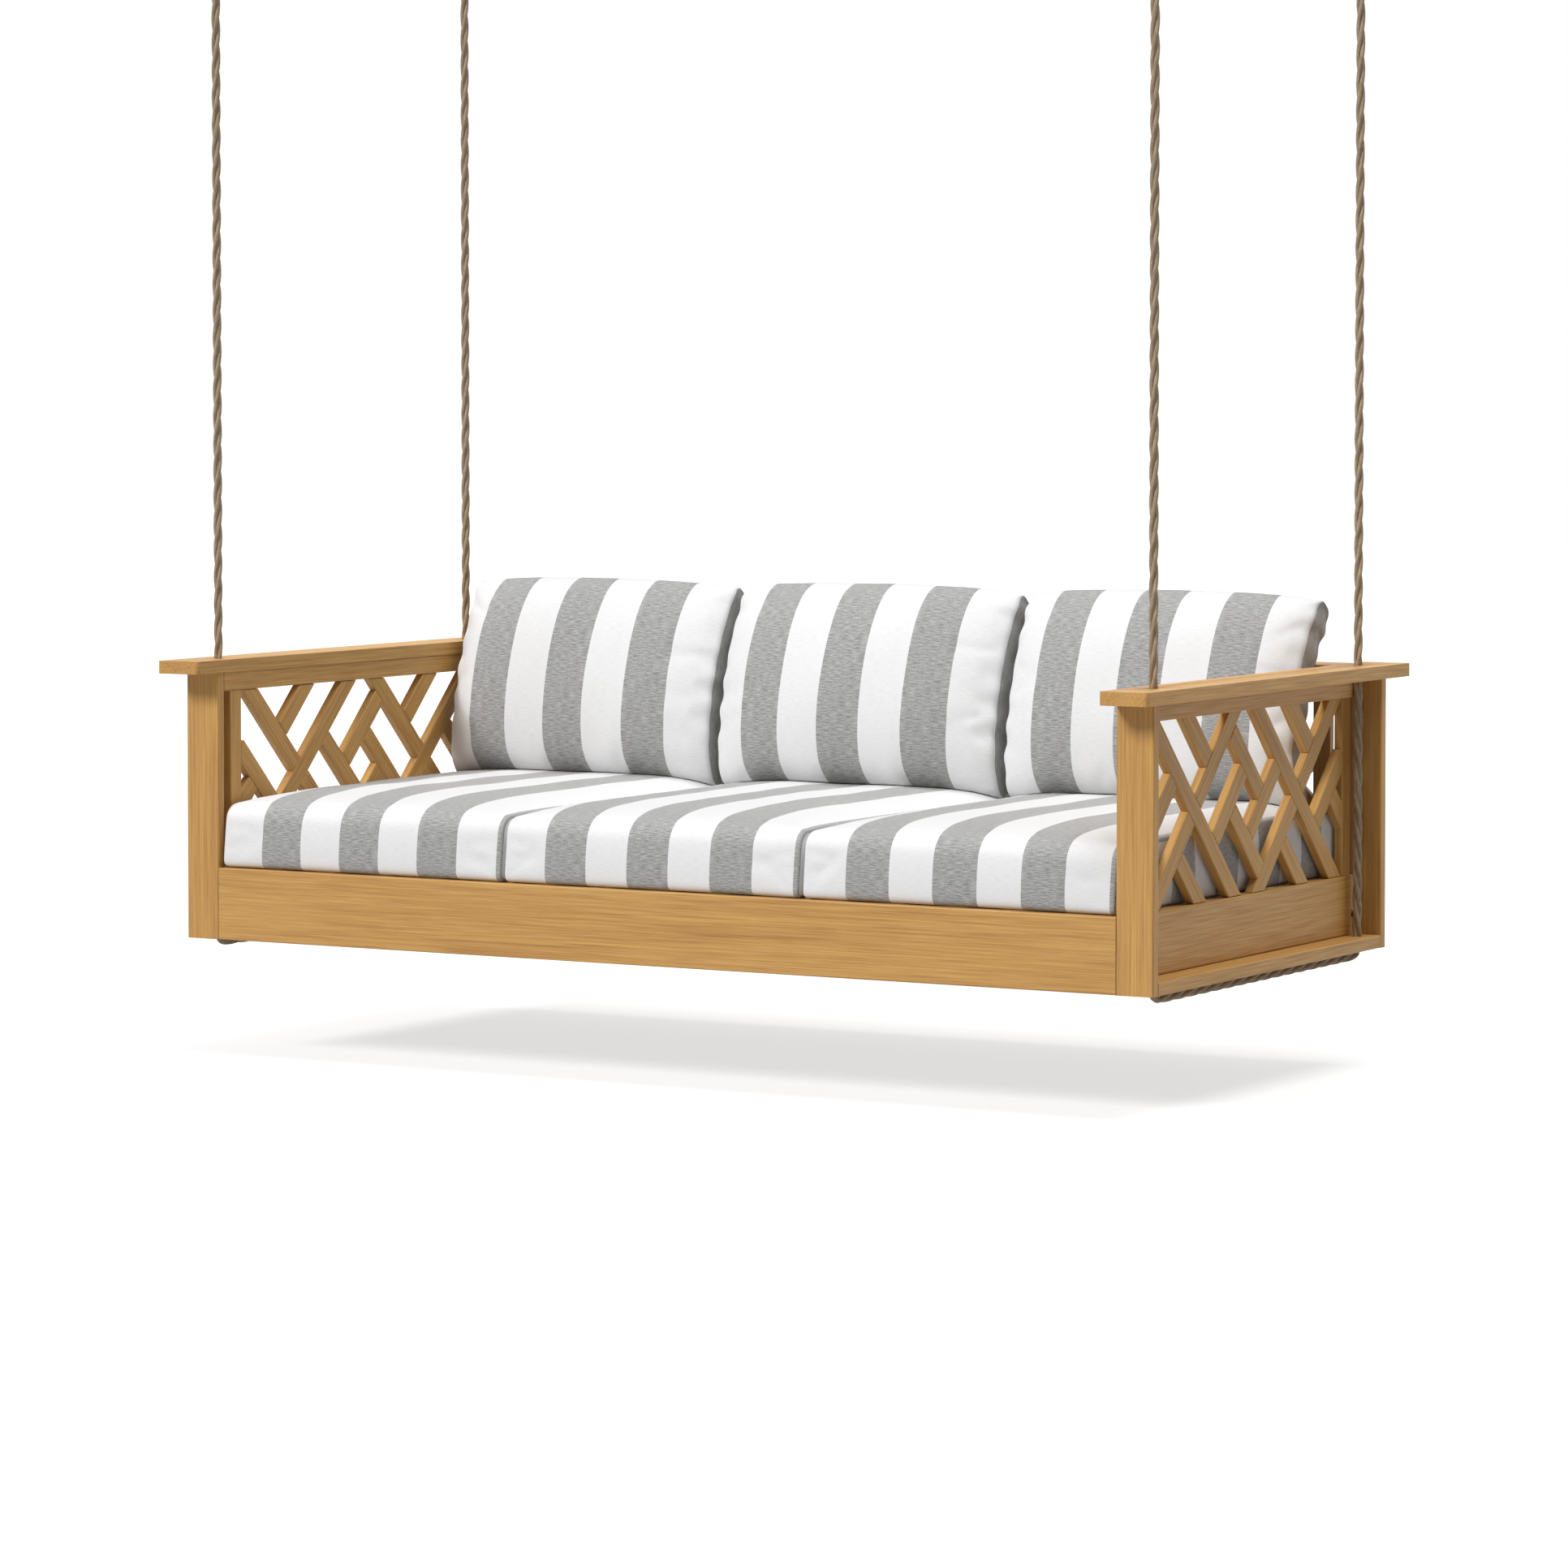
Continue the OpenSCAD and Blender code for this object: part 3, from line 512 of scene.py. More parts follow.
# %% Waves and creases
def waves(a, b, seed, count=5, longest=0.42, shortest=0.11):
    """A sum of count sines over the plane (a, b), with seeded directions and wavelengths
    between longest and shortest, scaled so that it stays near +-1."""
    draw = np.random.default_rng(seed)
    length = longest * (shortest / longest) ** (np.arange(count) / (count - 1))
    angle, start = draw.uniform(0, np.pi, count), draw.uniform(0, 2 * np.pi, count)
    total = 0
    for size, turn, first in zip(length, angle, start):
        total = total + (size / longest) ** 0.7 * np.sin(
            2 * np.pi / size * (a * math.cos(turn) + b * math.sin(turn)) + first)
    return total / 2.2


def creases(a, b, places):
    """The depth of a set of grooves at (a, b). A groove (a0, b0, turn, length, width, depth)
    starts at (a0, b0) and runs towards turn degrees. Across it the depth is a narrow groove
    with a low ridge on each side, and along it the depth swells and dies out."""
    total = 0
    for a0, b0, turn, length, width, depth in places:
        c, d = math.cos(math.radians(turn)), math.sin(math.radians(turn))
        run = ((a - a0) * c + (b - b0) * d) / length
        off = ((b - b0) * c - (a - a0) * d) / (width * (0.6 + 0.8 * np.clip(run, 0, 1)))
        shape = (1 - 0.9 * off ** 2) * np.exp(-off ** 2)
        total = total + depth * shape * np.clip(4 * run * (1 - run), 0, 1) ** 0.8 * (run > 0)
    return total


# %% Cloth: swell a cover under pressure
CLOTH_SETTINGS = {"quality": 6, "mass": 0.25, "shear_stiffness": 4,
                  "bending_stiffness": 0.3, "use_pressure": True}


def swell(piece, pressure, cap, frames=20, stiffness=12.0):
    """Runs Blender's cloth on a closed cover with air pressure and no gravity, and keeps at
    most cap of each point's movement, so that folds form and the size stays."""
    before = points_of(piece.data)
    cloth = piece.modifiers.new("cloth", "CLOTH")
    for key, value in CLOTH_SETTINGS.items():
        setattr(cloth.settings, key, value)
    cloth.settings.tension_stiffness = stiffness
    cloth.settings.compression_stiffness = stiffness
    cloth.settings.uniform_pressure_force = pressure
    cloth.settings.effector_weights.gravity = 0
    cloth.collision_settings.use_collision = False
    cloth.point_cache.frame_end = frames
    scene = bpy.context.scene
    for number in range(1, frames + 1):
        scene.frame_set(number)
    result = piece.evaluated_get(bpy.context.evaluated_depsgraph_get())
    move = points_of(result.data) - before
    piece.modifiers.clear()
    scene.frame_set(1)
    size = np.linalg.norm(move, axis=1, keepdims=True)
    move *= cap * np.tanh(size / cap) / np.maximum(size, 1e-9)
    piece.data.vertices.foreach_set("co", (before + move).ravel())
    piece.data.update()
    print(f"{piece.name}: cloth moved a point {size.mean() / MM:.1f} mm on average, "
          f"{size.max() / MM:.1f} mm at most")


def moved(piece, change):
    """Replaces a mesh's points by change(points)."""
    piece.data.vertices.foreach_set("co", change(points_of(piece.data)).ravel())
    piece.data.update()


def press(piece, low, high):
    """Flattens a cover where it rests on something: no point passes the two corners."""
    moved(piece, lambda co: np.clip(co, low, high))


# %% [markdown]
# ## Seat cushions
#
# They are 647 mm wide and 968 deep, 122 thick at the edge and 25 more at the crown. The top
# turns down to the front with a generous radius, and the front leans back a little. The
# stripes are 90 mm wide here and 93 on the back cushions, about seven to a width.

# %% Seat cushions
STRIPE = 650 / 7 * MM
SEAT_HALF_X = 323.4 * MM
CLEAR_X = 324.4 * MM
SEAT_HALF_Y = 484 * MM
SEAT_HALF_Z = 61 * MM
SEAT_CROWN = 25 * MM
SEAT_LEAN = 13 * MM
SEAT_STRIPE = 90.4 * MM
STRIPE_SHIFT = 4 * MM
SEAT_Y = FRONT + 486 * MM
SEAT_MID_Z = DECK + SEAT_HALF_Z
GUSSET_SHIFT = 12.5 * MM
CUSHION_X = {"left": -650 * MM, "middle": 0.0, "right": 650 * MM}
END_ROUND = 5 * MM
END_INSET = 3.5 * MM
CREASE_X = 318 * MM
BELLY = 6 * MM
FILLING_WAVE = 1.5 * MM
MIDDLE_DRAW = 3 * MM
SIDE_DRAW = 2 * MM
GUSSET_PUFF = 4 * MM
SEAM_WAVE = 1.0 * MM
SEAM_WAVE_LENGTH = 74 * MM


def seat_place(centre_x, seed):
    """The function that puts a seat cushion's profile in its place. The ends round over by
    END_INSET. The front and back belly out by BELLY less MIDDLE_DRAW, the top rises by the
    crown, and the front leans back by SEAT_LEAN at the top. The sides draw in by SIDE_DRAW,
    the gussets puff out by GUSSET_PUFF, and creases run in from both ends of the front."""
    draw = np.random.default_rng(seed)
    grooves = []
    for side in (-1, 1):
        for low, turn in ((-56, 38), (-20, 12), (22, -8)):
            turn = (turn if side < 0 else 180 - turn) + draw.uniform(-9, 9)
            grooves.append((side * CREASE_X, (low + draw.uniform(-8, 8)) * MM, turn,
                            draw.uniform(70, 130) * MM, draw.uniform(9, 15) * MM,
                            draw.uniform(1.4, 2.8) * MM))

    def place(x, yz, inward):
        y, z = yz[..., 0], yz[..., 1]
        tx, ty, tz = x / SEAT_HALF_X, y / SEAT_HALF_Y, z / SEAT_HALF_Z
        inset = end_inset(x, SEAT_HALF_X, END_ROUND, END_INSET)
        top = np.clip((tz + 1) / 2, 0, 1)
        crown = SEAT_CROWN * bowl(tx, 3.6) ** 0.6 * bowl(ty, 5) * top ** 1.5
        front = rise(np.abs(ty), 0.87, 0.99) * np.sign(y)
        belly = BELLY * bowl(tz, 2) * bowl(tx, 5)
        uneven = FILLING_WAVE * waves(centre_x + x, y, seed) * bowl(tx, 6)
        groove = creases(x, z, grooves) * rise(-ty, 0.8, 0.98)
        full = belly + 0.5 * uneven - MIDDLE_DRAW * bowl(tx, 2)
        py = SEAT_Y + y * (1 - inset / SEAT_HALF_Y) + front * full
        py = py + groove + SEAT_LEAN * top * rise(-ty, 0.8, 0.99)
        pz = SEAT_MID_Z + z * (1 - inset / SEAT_HALF_Z) + crown + uneven * top * bowl(ty, 8)
        puff = GUSSET_PUFF * np.sqrt(inward) * bowl(tz * (1 - inward), 2) * bowl(ty, 8)
        draw_in = SIDE_DRAW * bowl(ty, 2) * rise(np.abs(tx), 0.85, 1)
        wave = SEAM_WAVE * np.sin(2 * np.pi * y / SEAM_WAVE_LENGTH + seed)
        wave = wave * rise(np.abs(tx), 0.93, 1) * (1 - inward)
        px = centre_x + x + np.sign(x) * (puff - draw_in + wave)
        return np.stack(np.broadcast_arrays(px, py, pz), axis=-1)

    return place


seat_cushions = {}
seat_profile, seat_along = rounded_profile(SEAT_HALF_Y, SEAT_HALF_Z, 27 * MM, 12 * MM, 216)
for number, (where, centre) in enumerate(CUSHION_X.items()):
    seat_cushions[where] = sleeve(
        "striped_seat_cushion_" + where, SEAT_HALF_X, seat_profile, seat_along,
        SEAT_HALF_Y - SEAT_HALF_Z, 60, seat_place(centre, 11 + number),
        lambda x: (x + STRIPE_SHIFT) * STRIPE / SEAT_STRIPE, GUSSET_SHIFT)
print("seat cushions:", [len(o.data.polygons) for o in seat_cushions.values()], "faces")

# %% [markdown]
# ## Back cushions
#
# The back cushions lean on the cap and slump: upright at the foot, and 38 degrees back at the
# top. Each end has a plain grey boxing panel 62 mm wide, whose middle line is an arc, and
# between the ends the front and the back swell past it. No two are equally full, and the
# outer ends are drawn in more, because nothing stands beside them.

# %% Back cushions
BACK_HALF_X = 318 * MM
BACK_HALF_T = 31 * MM
BACK_HIGH = 414 * MM
BACK_CROWN = {"left": 57 * MM, "middle": 70 * MM, "right": 63 * MM}
REAR_CROWN = 40 * MM
ARC_R = 534 * MM
ARC_FOOT = (FRONT + 821.6 * MM, FEET + 274.6 * MM)
LEAN_FOOT = math.radians(-6)
FULLEST = {"left": 0.53, "middle": 0.5, "right": 0.52}
DRAWN_IN = {"left": (15 * MM, 0), "middle": (4 * MM, 0), "right": (4 * MM, 12 * MM)}
BACK_END_ROUND = 9 * MM
BACK_END_INSET = 4 * MM
BACK_CREASE_X = 316 * MM
BACK_WAVE = 2.4 * MM
CORNER_DROP = 3 * MM
TOP_SWELL = 9 * MM
TOP_WAVE = 2.5 * MM
FOOT_DROP = 8 * MM
FOOT_TUCK = 22 * MM
FOOT_TUCK_HIGH = 75 * MM
BACK_SEAM_WAVE = 2.0 * MM
BACK_SEAM_WAVE_LENGTH = 57 * MM
BOXING_PUFF = 3 * MM
BOXING_WAVE = 1.5 * MM
BOXING_WAVE_LENGTH = 81 * MM


def swollen(q, peak):
    """A crown's share at part q of the height: 1 at the peak, and falling to 0 at the foot
    and the top by (1 - v ** 3.2) ** 0.6, with v the part of the way from the peak."""
    v = np.where(q < peak, (peak - q) / peak, (q - peak) / (1 - peak))
    return (1 - np.clip(v, 0, 1) ** 3.2) ** 0.6


def back_place(where, seed):
    """The function that puts a back cushion's profile in its place.

    The profile's first value runs up the cushion and its second from back to front. At the
    height s the lean is a = foot lean + s / R. The arc is at y0 + R (cos a0 - cos a) and
    z0 + R (sin a - sin a0), and the front looks along (-cos a, sin a). The height is changed
    by CORNER_DROP, TOP_SWELL, TOP_WAVE and FOOT_DROP, and FOOT_TUCK draws the foot back."""
    centre_x, peak, full = CUSHION_X[where], FULLEST[where], BACK_CROWN[where]
    narrow_left, narrow_right = DRAWN_IN[where]
    draw = np.random.default_rng(seed)
    grooves = []
    for side in (-1, 1):
        for up in (28, 92, 170, 262, 350):
            turn = draw.uniform(-24, 24) + (14 if up < 60 else 0) - (16 if up > 300 else 0)
            grooves.append((side * BACK_CREASE_X, (up + draw.uniform(-18, 18)) * MM,
                            turn if side < 0 else 180 - turn, draw.uniform(60, 150) * MM,
                            draw.uniform(12, 22) * MM, draw.uniform(0.8, 2.4) * MM))
    if where == "left":
        grooves.append((-322 * MM, 208 * MM, -50, 150 * MM, 17 * MM, -5 * MM))
    for spot in draw.uniform(-250, 250, 4):
        grooves.append((spot * MM, 3 * MM, 90 + draw.uniform(-18, 18), draw.uniform(50, 90) * MM,
                        draw.uniform(14, 24) * MM, draw.uniform(1.5, 3.0) * MM))

    def place(x, st, inward):
        up, t = st[..., 0] + BACK_HIGH / 2, st[..., 1]
        q = np.clip(up / BACK_HIGH, 0, 1)
        tx, tt = x / BACK_HALF_X, t / BACK_HALF_T
        front, rear = rise(tt, -0.2, 0.9), rise(-tt, -0.2, 0.9)
        seam = rise(np.abs(tx), 0.86, 1) * (1 - inward)
        inset = end_inset(x, BACK_HALF_X, BACK_END_ROUND, BACK_END_INSET)
        crown = swollen(q, peak) * bowl(tx, 3) ** 0.75
        out = full * crown * front - REAR_CROWN * crown * rear
        out = out + BACK_WAVE * waves(centre_x + x, up, seed) * crown * np.sign(t)
        out = out - creases(x, up, grooves) * front + creases(x, up, grooves[::-1]) * rear
        thick = t * (1 - inset / BACK_HALF_T)
        corner = (CORNER_DROP * np.abs(tx) ** 7 * rise(q, 0.86, 1.0)
                  - TOP_SWELL * bowl(tx, 4) * bowl(tt, 2) * rise(q, 0.9, 1))
        dip = TOP_WAVE * waves(centre_x + x, 0.3 * x, seed + 5, 4, 0.5, 0.16) * rise(q, 0.8, 1)
        foot = FOOT_DROP * np.abs(tx) ** 4 * (1 - q) ** 5
        behind = FOOT_TUCK * front * np.clip(1 - up / FOOT_TUCK_HIGH, 0, 1) ** 2
        wavy = BACK_SEAM_WAVE * np.sin(2 * np.pi * up / BACK_SEAM_WAVE_LENGTH + seed)
        wavy = wavy * (0.6 + 0.4 * np.sin(23 * up + seed))
        high = up - corner - foot + dip
        draw_in = np.where(tx < 0, narrow_left, narrow_right)
        draw_in = draw_in * (0.55 + 0.45 * bowl(2 * q - 1, 2.2)) * rise(np.abs(tx), 0.76, 1)
        puff = (BOXING_PUFF * inward * bowl(2 * q - 1, 6)
                - BOXING_WAVE * np.sin(2 * np.pi * up / BOXING_WAVE_LENGTH) * inward)
        a = LEAN_FOOT + high / ARC_R
        ahead = out + thick - behind + 0.7 * wavy * seam * np.sign(t)
        py = ARC_FOOT[0] + ARC_R * (math.cos(LEAN_FOOT) - np.cos(a)) - ahead * np.cos(a)
        pz = ARC_FOOT[1] + ARC_R * (np.sin(a) - math.sin(LEAN_FOOT)) + ahead * np.sin(a)
        px = centre_x + x + np.sign(x) * (puff - draw_in + wavy * seam)
        return np.stack(np.broadcast_arrays(px, py, pz), axis=-1)

    return place


def rest_on_seat(piece, seat):
    """No point of a back cushion is lower than the nearest point on top of its seat cushion."""
    top = points_of(seat.data)
    top = top[(top[:, 2] > SEAT_MID_Z + 35 * MM) & (top[:, 1] > FRONT + 650 * MM)]

    def change(co):
        low = co[:, 2] < SEAT_MID_Z + 0.15
        apart = ((co[low, None, :2] - top[None, :, :2]) ** 2).sum(axis=2)
        co[low, 2] = np.maximum(co[low, 2], top[apart.argmin(axis=1), 2] + 0.6 * MM)
        return co

    moved(piece, change)


def lean_on_cap(piece):
    """The cap's front edge and the rail below it hold the cushion: no point near their height
    lies behind the edge, and the cloth bends away smoothly above and below."""
    low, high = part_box("back_cap")
    edge = low.y - 0.8 * MM

    def change(co):
        away = np.maximum(0, np.maximum(low.z - 40 * MM - co[:, 2], co[:, 2] - high.z - 3 * MM))
        limit = edge + np.sqrt(away * (away + 30 * MM))
        return np.stack([co[:, 0], np.minimum(co[:, 1], limit), co[:, 2]], axis=1)

    moved(piece, change)


back_cushions = {}
back_profile, back_along = rounded_profile(BACK_HIGH / 2, BACK_HALF_T, 16 * MM, 28 * MM, 136)
for number, where in enumerate(CUSHION_X):
    back_cushions[where] = sleeve(
        "striped_back_cushion_" + where, BACK_HALF_X, back_profile, back_along,
        BACK_HIGH / 2 - BACK_HALF_T, 76, back_place(where, 41 + number), lambda x: x)
print("back cushions:", [len(o.data.polygons) for o in back_cushions.values()], "faces")

# %% [markdown]
# ## Materials: small tools
#
# Every finish is a small graph of nodes. Patterns that belong to the timber or steel read
# Object coordinates, in metres; patterns that follow the cloth or the rope read the piece's
# own UV map. These helpers add a node, link it, and write colours as 0 to 255 values.

# %% Node helpers
def srgb(red, green, blue):
    """A colour given as the 0 to 255 values of a picture, as Blender's linear RGBA."""
    c = np.array([red, green, blue]) / 255
    linear = np.where(c <= 0.04045, c / 12.92, ((c + 0.055) / 1.055) ** 2.4)
    return (*linear.tolist(), 1.0)


class Graph:
    """The node tree of a material or world, with short calls for the nodes used here."""

    def __init__(self, owner):
        owner.use_nodes = True
        self.owner, self.tree = owner, owner.node_tree

    def put(self, target, value):
        """Sets an input to a number or colour, or links it to an output."""
        if isinstance(value, bpy.types.NodeSocket):
            self.tree.links.new(value, target)
        else:
            target.default_value = value

    def node(self, kind, inputs=None, **values):
        """A new node with these attributes, and with inputs by their name or number."""
        made = self.tree.nodes.new("ShaderNode" + kind)
        for key, value in values.items():
            setattr(made, key, value)
        for key, value in (inputs or {}).items():
            self.put(made.inputs[key], value)
        return made

    def coords(self, which="Object"):
        return self.node("TexCoord").outputs[which]

    def scaled(self, vector, scale=(1, 1, 1), shift=(0, 0, 0), turn=(0, 0, 0)):
        return self.node("Mapping", {"Vector": vector, "Scale": scale, "Location": shift,
                                     "Rotation": turn}).outputs["Vector"]

    def noise(self, vector, scale=1.0, detail=3.0, roughness=0.55, distortion=0.0):
        return self.node("TexNoise", {"Vector": vector, "Scale": scale, "Detail": detail,
                                      "Roughness": roughness,
                                      "Distortion": distortion}).outputs["Fac"]

    def bands(self, vector, direction, apart, **inputs):
        """Lines that lie apart metres from each other. Blender's wave has 20 radians a unit,
        so its scale is pi / (10 * apart)."""
        return self.node("TexWave", {"Vector": vector, "Scale": math.pi / 10 / apart, **inputs},
                         wave_type="BANDS", bands_direction=direction,
                         wave_profile="SIN").outputs["Fac"]

    def math(self, operation, a, b):
        return self.node("Math", {0: a, 1: b}, operation=operation).outputs[0]

    def plus(self, a, b):
        return self.math("ADD", a, b)

    def times(self, a, b):
        return self.math("MULTIPLY", a, b)

    def ramp(self, value, low, high, to_low=0.0, to_high=1.0, smooth=True):
        kind = "SMOOTHSTEP" if smooth else "LINEAR"
        return self.node("MapRange", {"Value": value, "From Min": low, "From Max": high,
                                      "To Min": to_low, "To Max": to_high},
                         interpolation_type=kind).outputs["Result"]

    def colours(self, value, *stops):
        """A colour ramp: stops are (position, colour)."""
        made = self.node("ValToRGB", {"Fac": value})
        points = made.color_ramp.elements
        while len(points) < len(stops):
            points.new(0.5)
        for point, (position, colour) in zip(points, stops):
            point.position = position
            point.color = colour
        return made.outputs["Color"]

    def mix(self, share, a, b):
        return self.node("Mix", {0: share, 6: a, 7: b}, data_type="RGBA").outputs[2]

    def bump(self, height, distance, strength):
        return self.node("Bump", {"Height": height, "Distance": distance,
                                  "Strength": strength}).outputs["Normal"]

    def seen(self):
        """1 for rays from the camera, off a mirror or through glass, and 0 for all others."""
        ray = self.node("LightPath").outputs
        return self.math("MAXIMUM", ray["Is Camera Ray"],
                         self.math("MAXIMUM", ray["Is Glossy Ray"], ray["Is Transmission Ray"]))

    def finish(self, **inputs):
        """Sets the shader's inputs, whose names have _ for a space, and returns the material."""
        shader = self.tree.nodes["Principled BSDF"]
        for key, value in inputs.items():
            self.put(shader.inputs[key.replace("_", " ")], value)
        return self.owner


def new_graph(name):
    """The graph of a new material."""
    return Graph(bpy.data.materials.new(name))


# %% [markdown]
# ## Timber
#
# The boards are a golden hardwood with a matt finish. Along the grain the colour hardly
# changes, and across it there are broad figure, flecks, fine lines, golden streaks and short
# dark pores. So one pattern serves all boards: five noises, each stretched along the board.
# The direction of stretch is the board's own, and it is the one thing that differs between
# the hardwood's materials. The seat's base is a paler softwood with the same pattern.

# %% Wood
ALONG = {"x": (1, 0, 0), "y": (0, 1, 0), "z": (0, 0, 1), "u": (1, 0, 0)}


def wood(name, grain, dark, middle, light, roughness=0.5):
    """Wood with its grain along x, y, z, or u, which is the first value of the UVs. Each noise
    is scaled by few cycles a metre along the grain and many across it: 1.3 and 12 for figure,
    4 and 190 for flecks, 7 and 560 for lines, 60 and 1300 for pores, 2.4 and 150 for golden
    streaks. Colour runs over dark, middle and light by a sum of figure, flecks and lines."""
    g = new_graph(name)
    along = np.array(ALONG[grain], float)
    where = g.coords("UV") if grain == "u" else g.coords()

    def stretched(few, many, shift=0.0):
        return g.scaled(where, (along * few + (1 - along) * many).tolist(), (shift,) * 3)

    def share(value, amount):
        return g.times(g.math("SUBTRACT", value, 0.5), amount)

    figure = g.noise(stretched(1.3, 12, 3.1), detail=2, distortion=0.3)
    flecks = g.noise(stretched(4, 190, 5.3), detail=2.5, roughness=0.65)
    lines = g.noise(stretched(7, 560, 7.7), detail=2, roughness=0.6)
    pores = g.noise(stretched(60, 1300, 1.9), detail=1)
    streaks = g.noise(stretched(2.4, 150, 9.2), detail=1)
    tone = g.plus(g.plus(share(figure, 0.24), share(flecks, 0.4)),
                  g.plus(share(lines, 0.6), 0.5))
    base = g.colours(tone, (0.3, dark), (0.5, middle), (0.68, light))
    base = g.mix(g.ramp(streaks, 0.62, 0.75, 0.0, 0.4), base, srgb(212, 165, 84))
    pore = g.ramp(pores, 0.6, 0.74)
    base = g.mix(g.times(pore, 0.3), base, dark)
    height = g.math("SUBTRACT", g.times(lines, 0.6), g.times(pore, 0.5))
    return g.finish(
        Base_Color=base,
        Roughness=g.ramp(lines, 0.3, 0.7, roughness + 0.08, roughness - 0.05),
        Specular_IOR_Level=0.5,
        Normal=g.bump(height, 0.22 * MM, 0.6),
    )


GOLD = (srgb(160, 112, 54), srgb(189, 142, 76), srgb(205, 161, 92))
PINE = (srgb(176, 138, 92), srgb(204, 170, 122), srgb(219, 190, 145))
timber = {axis: wood("oiled_hardwood_" + axis, axis, *GOLD) for axis in ALONG}
base_timber = {axis: wood("base_softwood_" + axis, axis, *PINE, roughness=0.68) for axis in "xyz"}
print("wood:", sorted(m.name for m in bpy.data.materials if "wood" in m.name))

# %% [markdown]
# ## Steel and rope
#
# The thimbles, links and eyes are hot-dip galvanised: a dull bright metal whose zinc froze
# in flat crystals, so the roughness changes from cell to cell. The screws have a dark coat.
# The rope is laid from soft brown yarns; fine lines run across each strand at a slant, and the
# grooves between the yarns are darkened with painted shade.

# %% Steel and rope
YARNS_APART = 2.3 * MM
YARN_SLANT = math.radians(-58)


def galvanised():
    g = new_graph("galvanised_steel")
    where = g.coords()
    cells = g.node("TexVoronoi", {"Vector": where, "Scale": 260}, feature="F1")
    grey = g.node("SeparateColor", {0: cells.outputs["Color"]})
    dull = g.noise(where, scale=90, detail=4)
    colour = g.mix(g.ramp(dull, 0.35, 0.7), srgb(196, 199, 200), srgb(160, 163, 166))
    return g.finish(
        Base_Color=g.mix(g.times(grey.outputs[0], 0.35), colour, srgb(212, 214, 216)),
        Metallic=1.0,
        Roughness=g.ramp(grey.outputs[1], 0, 1, 0.36, 0.52, smooth=False),
        Normal=g.bump(dull, 0.12 * MM, 0.5),
    )


def coated_steel():
    g = new_graph("coated_screw_steel")
    worn = g.noise(g.coords(), scale=420, detail=3)
    return g.finish(
        Base_Color=g.mix(g.ramp(worn, 0.56, 0.7), srgb(62, 58, 54), srgb(112, 106, 98)),
        Metallic=0.9,
        Roughness=g.ramp(worn, 0.3, 0.7, 0.5, 0.34),
    )


def laid_rope():
    """Yarns are a sine of the UV's first value after a turn by YARN_SLANT, so that they cross
    each strand. Painted shade darkens the lines between them, the grooves between the yarns;
    fine fibres lie on them, and tufts vary the tone."""
    g = new_graph("laid_rope")
    uv = g.coords("UV")
    slant = g.scaled(uv, turn=(0, 0, YARN_SLANT))
    yarns = g.bands(slant, "X", YARNS_APART, Distortion=0.35, Detail=1)
    fibres = g.noise(g.scaled(slant, (2600, 260, 1)), detail=2)
    tufts = g.noise(g.scaled(uv, (55, 160, 1)), detail=3)
    colour = g.colours(tufts, (0.3, srgb(142, 122, 98)), (0.55, srgb(172, 151, 124)),
                       (0.78, srgb(193, 174, 148)))
    # painted shade: the grooves between the yarns are darkened towards a deep brown
    colour = g.mix(g.times(g.ramp(yarns, 0.0, 0.45, 1.0, 0.0), 0.45), colour, srgb(92, 76, 58))
    colour = g.mix(g.times(g.ramp(fibres, 0.5, 0.72), 0.35), colour, srgb(196, 180, 156))
    height = g.plus(yarns, g.times(fibres, 0.5))
    return g.finish(
        Base_Color=colour,
        Roughness=0.82,
        Specular_IOR_Level=0.25,
        Sheen_Weight=0.15,
        Sheen_Roughness=0.5,
        Normal=g.bump(height, 0.35 * MM, 0.8),
    )


steel = galvanised()
dark_steel = coated_steel()
rope_finish = laid_rope()

# %% [markdown]
# ## Awning-striped cloth
#
# The cushions are covered in a woven outdoor cloth with stripes as wide as a hand: white, and
# a grey in which light and dark threads lie mixed, so that it shows short streaks along the
# weft. The stripe is a cosine of the UV's first value, cut sharply at zero. The weave is a
# fine bump, and a little sheen lightens the cloth at a glancing angle.

# %% Cloth
THREADS_APART = 1.1 * MM
RAGGED = 1.2 * MM


def striped_cloth(name, striped=True):
    """Grey where cos(pi u / stripe) is above 0, white elsewhere; u is in metres. Streaks are
    a noise of 60 cycles a metre along the weft and 640 across it, and specks are finer. The
    weave is the sum of two sets of threads, and the cloth is all grey without stripes."""
    g = new_graph(name)
    uv = g.coords("UV")
    streak = g.noise(g.scaled(uv, (60, 640, 1)), detail=1.5, roughness=0.5)
    speck = g.noise(g.scaled(uv, (420, 900, 1)), detail=1)
    mixed = g.plus(streak, g.times(g.math("SUBTRACT", speck, 0.5), 0.8))
    colour = g.colours(mixed, (0.28, srgb(126, 126, 125)), (0.5, srgb(158, 158, 157)),
                       (0.72, srgb(188, 188, 187)))
    if striped:
        across = g.node("SeparateXYZ", {0: uv}).outputs[0]
        ragged = g.noise(g.scaled(uv, (160, 900, 1)), detail=1)
        edge = g.plus(across, g.times(g.math("SUBTRACT", ragged, 0.5), RAGGED))
        wave = g.math("COSINE", g.times(edge, math.pi / STRIPE), 0.0)
        white = g.colours(mixed, (0.25, srgb(225, 225, 226)), (0.6, srgb(234, 234, 234)))
        colour = g.mix(g.ramp(wave, -0.02, 0.02), white, colour)
    warp, weft = (g.bands(uv, direction, THREADS_APART) for direction in "XY")
    weave = g.plus(g.times(warp, 0.5), weft)
    height = g.plus(weave, g.times(mixed, 1.2))
    return g.finish(
        Base_Color=colour,
        Roughness=0.9,
        Specular_IOR_Level=0.2,
        Sheen_Weight=0.5,
        Sheen_Roughness=0.5,
        Normal=g.bump(height, 0.22 * MM, 0.6),
    )


stripes = striped_cloth("striped_awning_cloth")
plain_grey = striped_cloth("grey_boxing_cloth", striped=False)

